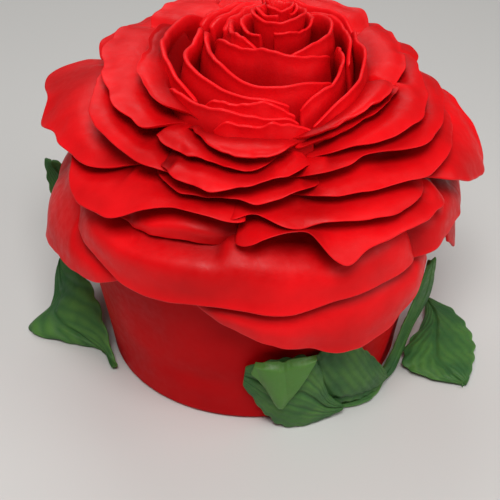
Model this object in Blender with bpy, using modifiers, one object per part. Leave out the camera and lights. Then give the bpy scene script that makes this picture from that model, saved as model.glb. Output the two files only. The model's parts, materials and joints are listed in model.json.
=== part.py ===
"""A rose-shaped celebration cake: a tapered round cake covered with red fondant, a dome of
overlapping fondant petals round an upright bud, and green fondant leaves round its foot.

Metres, +Z up. The origin is the middle of the cake's foot, on the surface it stands on.
The viewer's side of the cake is -Y. Azimuths are degrees anticlockwise from +X.
"""

from collections import namedtuple
from math import cos, hypot, pi, radians, sin, tau

import bmesh
import bpy
import numpy as np

MM = 0.001

# The cake under the petals: a tapered side and a low dome with a flat top
FOOT_RADIUS = 75.0
BELLY_RADIUS = 88.0
BELLY_HEIGHT = 82.0
CORE_RISE = 66.0
CORE_POWER = 2.2
TOP_HEIGHT = 134.0
FOOT_ROUND = 3.0

# The rose's outer form, which the petals' lips keep to
ROSE_RADIUS = 103.0
ROSE_RISE = 90.0
ROSE_POWER = 2.6
ROSE_TUCK = 0.12

# Away from its lip a petal sinks under its neighbours: so many millimetres for each
# degree, up to the shoulder and below it
UPPER_SINK = 0.8
LOWER_SINK = 0.36
SHOULDER = 76.0

# Where the rose stands out from its round form or draws in: azimuth, polar angle, height,
# and how far that spreads each way
BULGES = (
    (-168, 92, 3.0, 28, 20),
    (-184, 79, -6.0, 35, 7.5),
    (-100, 84, -1.0, 20, 20),
    (-5, 84, -3.5, 30, 12),
)

# The bud stands this far towards +X of the middle. The petals round it move along, less
# and less out to SETTLED.
BUD_ASIDE = 12.0
SETTLED = 75.0

# Rolled fondant
PETAL_THICKNESS = 2.0
LIP_THICKNESS = 1.5
THINNING_START = 0.7
LEAF_THICKNESS = 1.8
GAP = 0.35

# How far a sheet may slant before its thickness stops growing with the slant
LEAST_SQUARENESS = 0.45
SHARP_EDGE = 50

# Shares of a petal's reach: the depth of the waves in its lip, and how far its corners
# round off. An outer petal is narrower at its base, fully so where it reaches FULL_REACH
# degrees, and its lip curls from CURL_START on. Every petal reaches LEAST_REACH degrees.
LIP_WAVE = 0.05
OUTER_ROUNDING = 0.1
CUP_ROUNDING = 0.3
ROUNDING_POWER = 5
BASE_WIDTH = 0.86
CURL_START = 0.55
CURL_POWER = 1.4
LEAST_REACH = 1.6
FULL_REACH = 8.0

# Polar angles, and how many of them, among which a petal's base is looked for
LIMIT_SEARCH = (20, 90, 141)

# Millimetres that the waves lift a lip or push it out
OUTER_RIPPLE = 0.4
CUP_WAVE = 1.0
CUP_RIPPLE = 0.25

# Facets across and along a sheet, and round a turned shape
OUTER_GRID = (10, 4)
BAND_GRID = (14, 3)
CUP_GRID = (9, 4)
LEAF_GRID = (4, 10)
CAKE_STEPS = 48
DOME_RINGS = 10
SIDE_LEVELS = (BELLY_HEIGHT, 55.0, 28.0, FOOT_ROUND)
LEAF_WAVES = 2.5

# Colour and roughness of each finish
COVERING_FINISH = ((0.45, 0.006, 0.008, 1.0), 0.42)
PETAL_FINISH = ((0.62, 0.004, 0.004, 1.0), 0.38)
LEAF_FINISH = ((0.045, 0.16, 0.035, 1.0), 0.45)

# Keeps a division clear of zero, and joins the ends of a turned shape, in metres
TINY = 1e-9
MERGE = 0.0001

# An outer petal spreads down the rose from its base to its lip. Its rank is the polar
# angle from straight up, seen from the dome's centre, at which it reaches the rose's
# form: where two petals overlap, the lower rank lies on top. The rank grows by tilt
# degrees towards the right-hand end. Past is how far the lip runs beyond the rank, flare
# how far it then curls out in millimetres.
Outer = namedtuple("Outer", "name azimuth half base rank tilt past flare waves phase")

OUTER_PETALS = (
    Outer("top_left", -162, 47, 24, 34.6, 5.6, 0, 0, 2.0, 0.4),
    Outer("top_back", 70, 42, 28, 38.5, 0, 0, 1, 2.5, 1.7),
    Outer("top_back_left", 117, 27, 30, 42.5, 0, 0, 1, 2.0, 0.2),
    Outer("top_right", -50, 27, 34, 43.2, -1.4, 0, 0, 2.5, 0.9),
    Outer("top_right_rear", 20, 40, 32, 44.2, 0, -2, 0, 2.0, 1.4),
    Outer("high_left", -167, 47, 32, 44.3, 3.0, 0, 1, 1.5, 0.0),
    Outer("high_right", -48, 28, 38, 46.9, -1.7, 0, 0, 2.0, 0.5),
    Outer("high_front", -97, 21, 42, 47.6, 0, 1, 1, 1.5, 2.4),
    Outer("high_back", 86, 46, 36, 48.0, 0, 0, 2, 2.5, 0.8),
    Outer("mid_right", -27, 45, 36, 51.2, -3.0, 0, 1, 2.0, 1.1),
    Outer("mid_front", -101.5, 17.5, 44, 50.9, 0, 0, 0, 2.0, 1.6),
    Outer("mid_left", -155, 44, 38, 52.6, 7.0, 0, 2, 2.0, 0.3),
    Outer("mid_back_left", 126, 33, 40, 53.0, 0, 0, 2, 2.0, 2.2),
    Outer("mid_front_left", -98, 24, 45, 54.2, 0, 0, 1, 2.0, 0.2),
    Outer("mid_back_right", 44, 33, 42, 54.5, 0, -2, 0, 2.5, 0.6),
    Outer("mid_right_low", -35, 45, 44, 55.9, -2.3, 0, 1, 1.5, 1.9),
    Outer("mid_back", 86, 44, 46, 59.0, 0, 0, 2, 2.0, 0.0),
    Outer("low_front", -97, 27, 48, 62.7, 0, 0, 1, 1.5, 1.4),
    Outer("ear_left", -169, 43, 46, 65.0, 0, 2, 0, 2.0, 0.7),
    Outer("shoulder_right", -40, 40, 50, 64.2, -2.5, 0, 1, 2.0, 0.8),
    Outer("low_back_right", 56, 34, 52, 66.0, 0, 1, 2, 2.5, 1.5),
    Outer("ear_right", -6, 27, 52, 67.6, 0, 8, 1, 2.0, 2.0),
    Outer("low_left", -133, 39, 54, 69.9, -4.0, 0, 2, 2.5, 0.9),
    Outer("low_front_right", -70, 35, 54, 70.4, 0, 0, 1, 2.0, 0.8),
    Outer("low_back_left", 126, 40, 54, 70.0, 0, 1, 2, 2.0, 0.5),
    Outer("low_mid_left", -122, 26, 60, 75.2, 0, 0, 0, 1.5, 1.2),
    Outer("low_right", -60.5, 33.5, 58, 75.4, 0, 0, 2, 2.5, 2.6),
    Outer("band_back", 84.5, 51.5, 62, 82, 0, 2, 1, 2.0, 1.3),
    Outer("band_right", -7, 39, 64, 86, 0, 0, 0, 1.5, 0.2),
    Outer("band_back_left", 132, 44, 72, 92, 0, 2, 0, 1.5, 0.0),
    Outer("band_front", -94, 58, 66, 94, 0, -8, 0, 2.0, 0.0),
    Outer("band_right_rear", 32, 40, 72, 95.5, 0, 2, 0, 2.0, 1.0),
    Outer("band_left", -168, 40, 73, 103, 0, -4, 0, 2.0, 0.4),
    Outer("band_low_front", -74, 42, 80, 104, 0, -3, -2, 1.5, 0.6),
)

# Where a petal's lip is uneven: its polar angle at these azimuths
LIPS = {
    "top_left": ((-208, 31), (-185, 32), (-169, 33), (-154, 36), (-137, 39), (-123, 41), (-112, 40)),
    "top_right": ((-76, 46), (-65, 45), (-54, 43.5), (-35, 42.5), (-24, 41)),
    "high_left": ((-214, 43), (-181, 43), (-161, 43.5), (-146, 45.5), (-133, 47), (-120, 48.5)),
    "high_right": ((-76, 48), (-63, 46.5), (-50, 45), (-34, 44), (-20, 43)),
    "high_front": ((-118, 41), (-111, 43.5), (-102, 48), (-94, 50.5), (-86, 49.5), (-76, 47)),
    "mid_right": ((-72, 51.5), (-60, 50.5), (-50, 51.5), (-37, 52), (-25, 51), (-9, 47.5), (18, 47)),
    "mid_front": ((-119, 49), (-110, 50), (-102, 51), (-92, 50.5), (-84, 50)),
    "mid_left": ((-199, 43.5), (-174, 44.5), (-161, 48), (-150, 51), (-133, 54), (-126, 53), (-110, 56)),
    "mid_front_left": ((-122, 50.5), (-116, 52.5), (-108, 56), (-102, 57), (-90, 55), (-74, 53)),
    "mid_right_low": ((-80, 55.5), (-62, 54), (-56, 53), (-48, 54.5), (-38, 57), (-15, 55), (10, 54)),
    "low_front": ((-124, 55), (-112, 59), (-95, 59.5), (-88, 60.5), (-81, 58.5), (-70, 57.5)),
    "ear_left": ((-212, 66), (-205, 68.5), (-195, 67), (-187, 65), (-180, 67), (-165, 63.5), (-126, 61.5)),
    "shoulder_right": ((-80, 59.5), (-64, 61), (-49, 62), (-38, 63.5), (-26, 62.5), (-13, 61), (0, 58)),
    "ear_right": ((-33, 68), (-22, 73), (-10, 77.5), (-4, 77), (4, 69), (21, 63)),
    "low_left": (
        (-172, 63), (-151, 65.5), (-145, 69), (-137, 70), (-128, 69.5), (-119, 65), (-111, 63), (-94, 66),
    ),
    "low_front_right": ((-105, 63), (-97, 64.5), (-92, 63), (-82, 66), (-68, 66), (-57, 68), (-35, 68)),
    "low_mid_left": ((-148, 70), (-131, 71), (-119, 72), (-107, 71.5), (-96, 73)),
    "low_right": ((-94, 72), (-85, 68), (-80, 67), (-76, 68), (-73, 73), (-70, 75.5), (-62, 74), (-27, 74)),
    "band_front": ((-152, 82), (-134, 83.5), (-124, 87), (-96, 87), (-85, 88.5), (-70, 87), (-36, 87.5)),
    "band_left": ((-208, 99), (-180, 97), (-160, 94), (-145, 93), (-136, 93), (-128, 91)),
    "band_low_front": (
        (-116, 86), (-107, 89.5), (-97, 95), (-87, 99), (-78, 102), (-67, 104), (-45, 101), (-32, 95),
    ),
    "band_right_rear": ((-8, 103), (0, 107), (8, 106), (18, 99), (45, 97), (72, 97)),
}

# Where a petal's lip stands away: the place across it, its half width and millimetres
STANDS = {"ear_left": (-0.8, 0.4, 14.0), "ear_right": (0.4, 0.5, 4.0), "low_right": (-0.55, 0.25, 1.8)}

# A cup petal stands round the bud, from near the cake's top up to the rose's form and
# rise beyond it. Its run is its lip's radius at these azimuths.
Cup = namedtuple("Cup", "name rise run waves phase")

CUP_PETALS = (
    Cup("cup_inner_left", 3.5, ((-210, 19), (-183, 19), (-133, 21.5), (-96, 23)), 1.5, 0.0),
    Cup("cup_inner_right", 3.5, ((-79, 25), (-45, 26), (-6, 26), (25, 23), (62, 19.5)), 1.5, 0.9),
    Cup("cup_inner_front", 2.5, ((-165, 25), (-129, 25.5), (-100, 26.5), (-62, 33), (-34, 31)), 2.0, 0.4),
    Cup("cup_rear", 2.0, ((55, 23.5), (90, 22.5), (130, 22.5), (158, 23)), 2.0, 1.1),
    Cup(
        "cup_wide_front", 0.5,
        ((-196, 27.5), (-172, 28.5), (-131, 36), (-109, 43), (-94, 47.5), (-62, 47.5), (-50, 44.5)),
        2.5, 1.8,
    ),
    Cup("cup_back", 0.5, ((60, 32.5), (75, 31), (100, 29.5), (130, 29.5), (150, 30.5)), 2.5, 0.2),
    Cup("cup_right", 0.5, ((-74, 57.5), (-60, 53.5), (-44, 45), (-30, 36.5), (-15, 30)), 2.0, 0.6),
    Cup("cup_left", 0.5, ((-205, 33), (-179, 31.5), (-143, 43), (-115, 50), (-78, 55)), 2.0, 0.9),
    Cup("cup_back_right", 0.5, ((-30, 40.5), (-5, 35.5), (13, 34.5), (41, 28.5), (70, 27.5)), 2.0, 0.3),
    Cup("cup_right_low", 0.0, ((-70, 65), (-54, 60), (-36, 53), (-20, 46.5), (-5, 40.5), (18, 41)), 2.5, 0.5),
    Cup("cup_back_left", 0.0, ((75, 38), (110, 36), (145, 37.5)), 2.0, 1.0),
    Cup("cup_left_low", 0.0, ((-230, 44), (-169, 46), (-144, 49.5), (-120, 54.5)), 2.0, 0.8),
    Cup("cup_back_outer", 0.0, ((22, 45.5), (45, 43), (80, 43), (122, 44)), 2.5, 0.5),
    Cup("cup_front", 0.0, ((-115, 57), (-100, 58), (-88, 58), (-76, 59.5)), 2.0, 0.0),
    Cup("cup_front_mid", 0.0, ((-137, 54), (-115, 61), (-98, 63), (-75, 64)), 2.0, 1.5),
    Cup("cup_front_low", 0.0, ((-106, 66.8), (-95, 67.5), (-81, 68), (-70, 68)), 2.0, 0.0),
)
CUP_FLARE = 0.009
CUP_UPRIGHT = 148.0

# How far out the feet of the standing petals reach: radius at these azimuths. The bases
# of the outer petals stay outside.
COLLAR = (
    (-180, 44.8), (-156, 45.4), (-146, 48.5), (-139, 53.5), (-125, 57.6), (-118, 61), (-112, 63.5),
    (-109, 68.4), (-95, 69), (-68, 69.6), (-64, 67), (-54, 61), (-44, 55.6), (-36, 52.8),
    (-28, 50.8), (-20, 46.6), (-12, 42.6), (4, 41.6), (18, 44), (45, 42.6), (120, 43), (180, 44.8),
)

# The closed bud is a goblet with a crinkled lip and a pinched tip inside. Its crinkles are
# so many round it, so deep for each, and start at so many radians. Its outer rings stand at
# shares of the height to the lip. The rings of its tip have a radius, the crinkles' share
# in it, a height over the lip and the crinkles' share in that.
BUD_LIP_LEVEL = 180.0
BUD_RADIUS = 12.5
BUD_NECK = 10.2
BUD_SIDES = 16
BUD_CRINKLES = ((3, 1.0, 0.6), (5, 0.6, 0.0))
BUD_LEVELS = (0.0, 0.35, 0.7, 0.9, 1.0)
BUD_LIP_WAVE = 0.8
BUD_SIDE_WAVE = 0.5
BUD_LIP_WIDTH = 2.2
BUD_LIP_DROP = 0.6
BUD_TIP = ((5.5, 0.8, 1.0, 0.5), (2.5, 0.3, 4.0, 0.5))

# A leaf spans two edges that run from its stalk to its tip. Each point of an edge is an
# azimuth in degrees, how far it stands off the side of the cake and its height. Camber
# is how far the blade's middle bulges, and ripple how far its edges wave.
Leaf = namedtuple("Leaf", "name near far camber ripple")

LEAVES = (
    Leaf(
        "leaf_front_left",
        ((-59, 6, 6), (-66, 5.5, 20), (-72, 4.8, 46), (-82, 1.9, 46), (-93, 1.2, 41)),
        ((-59, 6.5, 4), (-67, 6, 0.4), (-79, 6.5, 0.4), (-87, 1.6, 9), (-94, 1.2, 28)),
        1.5,
        0.4,
    ),
    Leaf(
        "leaf_front_right",
        ((-75, 1.2, 40), (-67, 1.0, 46), (-57, 1.4, 43), (-47, 2.5, 28), (-38, 4.5, 9)),
        ((-75, 1.2, 12), (-66, 1.4, 9), (-55, 5.5, 5.5), (-45, 7, 4.6), (-37, 6, 5)),
        2.5,
        0.3,
    ),
    Leaf(
        "leaf_right_upright",
        ((-60, 3, 1), (-47, 3.5, 1.8), (-33, 1.6, 6), (-27, 2.5, 28), (-23, 3.5, 46), (-19, 4.5, 60)),
        ((-59, 5, 0.4), (-48, 10, 0.4), (-33, 6, 0.4), (-17, 5, 12), (-11, 9.5, 36), (-15, 6.5, 62)),
        0.5,
        0.5,
    ),
    Leaf(
        "leaf_right_flat",
        ((10, 20, 3), (-5, 14, 4), (-17, 7.5, 4), (-27, 11, 2), (-28, 27, 1), (-26, 42, 0.4)),
        ((10, 22, 3), (5, 33, 1.5), (-4, 40, 1), (-12, 43, 1), (-20, 43.5, 1), (-26, 44, 0.4)),
        3.0,
        0.6,
    ),
    Leaf(
        "leaf_left",
        ((164, 30, 26), (172, 15, 27), (182, 6, 23), (193, 3, 14), (204, 3.5, 5), (209, 4.5, 2)),
        ((166, 32, 25), (175, 36, 3), (183, 46, 0.4), (189, 27, 1), (194, 7.5, 1), (208, 7, 0.4)),
        -1.0,
        0.4,
    ),
    Leaf(
        "leaf_back_left",
        ((151, 9, 0.4), (151, 8, 28), (157, 12, 58), (163, 20, 82)),
        ((152, 13, 0.4), (158, 26, 26), (162, 30, 58), (164, 27, 84)),
        2.0,
        0.8,
    ),
    Leaf(
        "leaf_back",
        ((62, 9, 2), (72, 7, 6), (86, 9, 5), (99, 18, 0.4)),
        ((62, 11, 1), (70, 31, 1), (84, 35, 2), (99, 20, 0.4)),
        3.0,
        0.8,
    ),
)


def clear_scene():
    for old in list(bpy.data.objects):
        bpy.data.objects.remove(old, do_unlink=True)


def make_collection(name):
    group = bpy.data.collections.new(name)
    bpy.context.scene.collection.children.link(group)
    return group


def make_material(name, colour, roughness):
    finish = bpy.data.materials.new(name)
    finish.use_nodes = True
    shader = finish.node_tree.nodes["Principled BSDF"]
    shader.inputs["Base Color"].default_value = colour
    shader.inputs["Roughness"].default_value = roughness
    shader.inputs["Metallic"].default_value = 0.0
    return finish


def side_radius(height):
    """The cake's radius below its widest level."""
    return FOOT_RADIUS + (BELLY_RADIUS - FOOT_RADIUS) * np.clip(height / BELLY_HEIGHT, 0, 1)


def dome_distance(polar, radius, rise, power):
    """How far a dome's surface lies from its centre, at a polar angle in radians."""
    across = np.abs(np.sin(polar)) / radius
    upward = np.abs(np.cos(polar)) / rise
    return (across**power + upward**power) ** (-1 / power)


def side_distance(polar, radius, slope):
    """The same below the dome, where the side narrows by slope towards the foot."""
    return radius / (np.abs(np.sin(polar)) + TINY - slope * np.cos(polar))


def core_distance(polar):
    """The cake's surface under the petals."""
    dome = dome_distance(polar, BELLY_RADIUS, CORE_RISE, CORE_POWER)
    flat = (TOP_HEIGHT - BELLY_HEIGHT) / np.maximum(np.cos(polar), TINY)
    side = side_distance(polar, BELLY_RADIUS, (BELLY_RADIUS - FOOT_RADIUS) / BELLY_HEIGHT)
    return np.where(np.cos(polar) >= 0, np.minimum(dome, flat), side)


def rose_distance(turn, polar):
    """The rose's outer form, for angles in degrees."""
    angle = np.radians(polar)
    dome = dome_distance(angle, ROSE_RADIUS, ROSE_RISE, ROSE_POWER)
    form = np.where(polar <= 90, dome, side_distance(angle, ROSE_RADIUS, ROSE_TUCK))
    for azimuth, level, height, spread, reach in BULGES:
        aside = (turn - azimuth + 180) % 360 - 180
        form = form + height * np.exp(-((aside / spread) ** 2) - ((polar - level) / reach) ** 2)
    return form


def sink(polar):
    """How deep a sheet of rank zero would lie at a polar angle."""
    return UPPER_SINK * np.minimum(polar, SHOULDER) + LOWER_SINK * np.maximum(polar - SHOULDER, 0)


def dome_point(turn, polar, distance):
    turn, polar = np.radians(turn), np.radians(polar)
    radius = distance * np.sin(polar)
    height = BELLY_HEIGHT + distance * np.cos(polar)
    return np.stack([radius * np.cos(turn), radius * np.sin(turn), height], axis=-1)


def cup_point(turn, level, radius):
    turn = np.radians(turn)
    return np.stack([radius * np.cos(turn), radius * np.sin(turn), level + 0 * turn], axis=-1)


def sheet_places(across, along):
    """u runs from -1 to 1 across a petal, and v from 0 at its base to 1 at its lip."""
    return np.linspace(-1, 1, across + 1)[:, None], np.linspace(0, 1, along + 1)[None, :]


def run_through(points, places):
    """Values at the places on a smooth curve through (place, value) points."""
    x, y = np.array(points, float).T
    slope = np.gradient(y, x)
    i = np.clip(np.searchsorted(x, places) - 1, 0, len(x) - 2)
    step = x[i + 1] - x[i]
    t = np.clip((places - x[i]) / step, 0, 1)
    ease = t * t * (3 - 2 * t)
    leave = (t**3 - 2 * t**2 + t) * step * slope[i]
    arrive = (t**3 - t**2) * step * slope[i + 1]
    return y[i] + (y[i + 1] - y[i]) * ease + leave + arrive


def cup_flare(level):
    """How far a standing petal leans out at a height."""
    return CUP_FLARE * np.maximum(level - CUP_UPRIGHT, 0) ** 2


def inner_limit(turn, rank):
    """The polar angle at which a sheet of a rank clears the standing petals."""
    angles = np.linspace(*LIMIT_SEARCH)
    azimuths, reaches = np.array(COLLAR).T
    limits = []
    for azimuth, own_rank in zip(turn.ravel(), (rank + 0 * turn).ravel()):
        distance = rose_distance(azimuth, angles) - sink(own_rank) + sink(angles)
        radius = distance * np.sin(np.radians(angles))
        level = BELLY_HEIGHT + distance * np.cos(np.radians(angles))
        reach = np.interp((azimuth + 180) % 360 - 180, azimuths, reaches)
        limits.append(np.interp(reach, radius - cup_flare(level), angles))
    return np.array(limits)[:, None]


def outer_form(petal, across, along):
    """(turn, polar, distance) of an outer petal's top."""
    u, v = sheet_places(across, along)
    wave = np.sin(pi * petal.waves * u + petal.phase)
    rank = petal.rank + petal.tilt * u
    reach = petal.rank + petal.past - petal.base
    edge = petal.azimuth + petal.half * u
    foot = petal.azimuth + petal.half * u * BASE_WIDTH
    if petal.name in LIPS:
        lip = run_through(LIPS[petal.name], edge)
    else:
        lip = rank + petal.past + LIP_WAVE * reach * wave
    lip = lip - OUTER_ROUNDING * reach * np.abs(u) ** ROUNDING_POWER
    base = np.maximum(inner_limit(edge, rank), inner_limit(foot, rank))
    base = np.maximum(base, petal.base)
    lip = np.maximum(lip, base + LEAST_REACH)
    polar = base + (lip - base) * v
    narrowing = (1 - BASE_WIDTH) * np.minimum((lip - base) / FULL_REACH, 1)
    spread = 1 - narrowing * (1 - np.sin(pi / 2 * v))
    turn = petal.azimuth + petal.half * u * spread
    curl = np.clip((v - CURL_START) / (1 - CURL_START), 0, 1) ** CURL_POWER
    lift = curl * (petal.flare + OUTER_RIPPLE * wave) * (1 - u**4)
    if petal.name in STANDS:
        place, width, height = STANDS[petal.name]
        lift = lift + height * v**3 * np.exp(-(((u - place) / width) ** 2))
    return turn, polar, rose_distance(turn, polar) - sink(rank) + sink(polar) + lift


def cup_form(petal, across, along, floor):
    """(turn, level, radius) of a cup petal's outer face."""
    u, v = sheet_places(across, along)
    wave = np.sin(pi * petal.waves * u + petal.phase)
    first, last = petal.run[0][0], petal.run[-1][0]
    turn = first + (last - first) * (u + 1) / 2
    lip = run_through(petal.run, turn)
    height = BELLY_HEIGHT + ROSE_RISE * (1 - (lip / ROSE_RADIUS) ** ROSE_POWER) ** (1 / ROSE_POWER)
    foot = lip - cup_flare(height)
    rounding = CUP_ROUNDING * (height - floor) * np.abs(u) ** ROUNDING_POWER
    top = height + petal.rise + CUP_WAVE * wave - rounding
    level = floor + (top - floor) * v
    return turn + 0 * v, level, foot + cup_flare(level) + CUP_RIPPLE * wave * v


def lip_profile(v):
    """A sheet's thickness from its base to its thinner lip."""
    thinning = np.clip((v - THINNING_START) / (1 - THINNING_START), 0, 1)
    return PETAL_THICKNESS + (LIP_THICKNESS - PETAL_THICKNESS) * thinning


def inner_side(to_point, turn, rise, outer):
    """The near side of a sheet: its thickness is measured square to the sheet."""
    points = to_point(turn, rise, outer)
    normal = np.cross(np.gradient(points, axis=0), np.gradient(points, axis=1))
    normal /= np.linalg.norm(normal, axis=-1, keepdims=True) + TINY
    step = to_point(turn, rise, outer + 1.0) - points
    squareness = np.clip(np.abs((normal * step).sum(axis=-1)), LEAST_SQUARENESS, 1)
    v = np.linspace(0, 1, outer.shape[1])[None, :]
    return outer - lip_profile(v) / squareness


def sheet_mesh(name, under, over):
    """A closed sheet between two grids of points, both split into triangles alike."""
    rows, columns = under.shape[:2]
    count = rows * columns
    index = np.arange(count).reshape(rows, columns)
    faces = []
    for i in range(rows - 1):
        for j in range(columns - 1):
            a, b = index[i, j], index[i + 1, j]
            c, d = index[i + 1, j + 1], index[i, j + 1]
            faces += [(a, b, c), (a, c, d)]
    flipped = [(count + a, count + c, count + b) for a, b, c in faces]
    rim = [*index[:, 0], *index[-1, 1:], *index[-2::-1, -1], *index[0, -2:0:-1]]
    sides = []
    for a, b in zip(rim, rim[1:] + rim[:1]):
        sides += [(b, a, count + a), (b, count + a, count + b)]
    points = np.concatenate([under.reshape(-1, 3), over.reshape(-1, 3)]) * MM
    mesh = bpy.data.meshes.new(name)
    mesh.from_pydata(points.tolist(), [], [tuple(map(int, f)) for f in faces + flipped + sides])
    turn_outward(mesh)
    mesh.shade_smooth()
    mesh.set_sharp_from_angle(angle=radians(SHARP_EDGE))
    return mesh


def turn_outward(mesh):
    """Makes the faces of a closed mesh point out."""
    shape = bmesh.new()
    shape.from_mesh(mesh)
    bmesh.ops.recalc_face_normals(shape, faces=shape.faces)
    shape.to_mesh(mesh)
    shape.free()


def settle_aside(mesh):
    """Moves the middle of the rose towards +X, along with the bud."""
    for corner in mesh.vertices:
        radius = hypot(corner.co.x, corner.co.y) / MM
        corner.co.x += BUD_ASIDE * MM * max(0.0, 1 - radius / SETTLED)


def add_object(name, mesh, finish, group):
    piece = bpy.data.objects.new(name, mesh)
    piece.data.materials.append(finish)
    group.objects.link(piece)
    return piece


def make_cake(finish, group):
    """The covered cake that carries the petals: a turned solid, uncut."""
    levels = np.linspace(0.0, radians(90), DOME_RINGS)[:-1]
    dome = [(core_distance(a) * sin(a), BELLY_HEIGHT + core_distance(a) * cos(a)) for a in levels]
    side = [(side_radius(h), h) for h in SIDE_LEVELS]
    outline = [*dome, *side, (FOOT_RADIUS - FOOT_ROUND, 0.0), (0.0, 0.0)]
    outline[0] = (0.0, TOP_HEIGHT)
    mesh = bpy.data.meshes.new("cake_profile")
    edges = [(i, i + 1) for i in range(len(outline) - 1)]
    mesh.from_pydata([(r * MM, 0, h * MM) for r, h in outline], edges, [])
    profile = add_object("cake_body", mesh, finish, group)
    turning = profile.modifiers.new("Turn", "SCREW")
    turning.steps = turning.render_steps = CAKE_STEPS
    turning.use_merge_vertices = True
    turning.merge_threshold = MERGE
    turning.use_smooth_shade = True
    bpy.context.view_layer.update()
    graph = bpy.context.evaluated_depsgraph_get()
    solid = bpy.data.meshes.new_from_object(profile.evaluated_get(graph))
    bpy.data.objects.remove(profile, do_unlink=True)
    turn_outward(solid)
    add_object("cake_body", solid, finish, group)


def add_petal(name, to_point, turn, rise, outer, finish, group):
    inner = inner_side(to_point, turn, rise, outer)
    mesh = sheet_mesh(name, to_point(turn, rise, inner), to_point(turn, rise, outer))
    settle_aside(mesh)
    add_object("petal_" + name, mesh, finish, group)


def make_cup_petals(finish, group):
    for petal in CUP_PETALS:
        form = cup_form(petal, *CUP_GRID, TOP_HEIGHT + GAP)
        add_petal(petal.name, cup_point, *form, finish, group)


def make_outer_petals(finish, group):
    for petal in OUTER_PETALS:
        grid = BAND_GRID if petal.name.startswith("band") else OUTER_GRID
        add_petal(petal.name, dome_point, *outer_form(petal, *grid), finish, group)


def make_bud(finish, group):
    turns = np.arange(BUD_SIDES) * 360 / BUD_SIDES
    angle = np.radians(turns)
    crinkle = sum(depth * np.sin(count * angle + start) for count, depth, start in BUD_CRINKLES)
    floor = TOP_HEIGHT + GAP
    rings = []
    for share in BUD_LEVELS:
        level = floor + (BUD_LIP_LEVEL + BUD_LIP_WAVE * crinkle - floor) * share
        radius = BUD_NECK + (BUD_RADIUS - BUD_NECK) * share**2 + BUD_SIDE_WAVE * crinkle * share
        rings.append((radius, level))
    rings.append((radius - BUD_LIP_WIDTH, level - BUD_LIP_DROP))
    for radius, side_wave, rise, wave in BUD_TIP:
        rings.append((radius + side_wave * crinkle, BUD_LIP_LEVEL + rise + wave * crinkle))
    points = [cup_point(turns, level, radius) for radius, level in rings]
    faces = [tuple(range(BUD_SIDES))]
    for k in range(len(points) - 1):
        for i in range(BUD_SIDES):
            n = (i + 1) % BUD_SIDES
            lower, upper = k * BUD_SIDES, (k + 1) * BUD_SIDES
            faces.append((lower + i, lower + n, upper + n, upper + i))
    faces.append(tuple(range((len(points) - 1) * BUD_SIDES, len(points) * BUD_SIDES)))
    mesh = bpy.data.meshes.new("bud")
    mesh.from_pydata((np.concatenate(points) * MM).tolist(), [], faces)
    turn_outward(mesh)
    mesh.shade_smooth()
    mesh.set_sharp_from_angle(angle=radians(SHARP_EDGE))
    settle_aside(mesh)
    add_object("bud", mesh, finish, group)


def edge_run(points, count):
    """Evenly shared places on a smooth curve through an edge's points."""
    points = np.array(points, float)
    first, last = 2 * points[0] - points[1], 2 * points[-1] - points[-2]
    ends = np.concatenate([[first], points, [last]])
    place = np.linspace(0, len(points) - 1, count)
    i = np.minimum(place.astype(int), len(points) - 2)
    t = (place - i)[:, None]
    a, b, c, d = (ends[i + k] for k in range(4))
    bend = (2 * a - 5 * b + 4 * c - d) * t**2 + (3 * b - a - 3 * c + d) * t**3
    return b + 0.5 * ((c - a) * t + bend)


def leaf_form(leaf, across, along):
    """A grid of points on a leaf's near side, and the direction it faces at each."""
    near = edge_run(leaf.near, along + 1)[:, None, :]
    far = edge_run(leaf.far, along + 1)[:, None, :]
    s, t = np.linspace(0, 1, along + 1)[:, None], np.linspace(0, 1, across + 1)[None, :]
    turn, stand, level = np.moveaxis(near + (far - near) * t[..., None], -1, 0)
    level = np.maximum(level, GAP)
    points = cup_point(turn, level, side_radius(level) + stand)
    facing = np.cross(np.gradient(points, axis=0), np.gradient(points, axis=1))
    facing /= np.linalg.norm(facing, axis=-1, keepdims=True) + TINY
    outward = cup_point(turn, 0 * level, 1) + np.array([0, 0, 1])
    facing *= np.sign((facing * outward).sum())
    swell = leaf.camber * 4 * t * (1 - t) * np.sin(pi * s)
    swell = swell + leaf.ripple * np.sin(LEAF_WAVES * tau * s + 2 * t) * (2 * t - 1) ** 2
    return points + facing * np.abs(swell)[..., None] * np.sign(leaf.camber), facing


def make_leaf(leaf, finish, group):
    under, facing = leaf_form(leaf, *LEAF_GRID)
    over = under + facing * LEAF_THICKNESS
    for side in (under, over):
        side[..., 2] = np.maximum(side[..., 2], GAP)
    mesh = sheet_mesh(leaf.name, under, over)
    add_object(leaf.name, mesh, finish, group)


def main():
    clear_scene()
    group = make_collection("rose_cake")
    covering = make_material("red_fondant_covering", *COVERING_FINISH)
    petal = make_material("red_fondant_petal", *PETAL_FINISH)
    leaf = make_material("green_fondant_leaf", *LEAF_FINISH)
    make_cake(covering, group)
    make_bud(petal, group)
    make_cup_petals(petal, group)
    make_outer_petals(petal, group)
    for row in LEAVES:
        make_leaf(row, leaf, group)


if __name__ == "__main__":
    main()
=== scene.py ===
"""The looks of a rose-shaped fondant cake: rolled petals, a wrapped bud, veined leaves and the
satin red and dull green finishes of the sugar paste.

Lengths in the form functions are millimetres in the cake's own frame: the axis stands at the
middle of the foot, turns are degrees anticlockwise from +X, and the front is -Y. A mesh is
scaled to metres once, when it is made.
"""

import json
from collections import namedtuple
from math import pi, radians, tau

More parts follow.
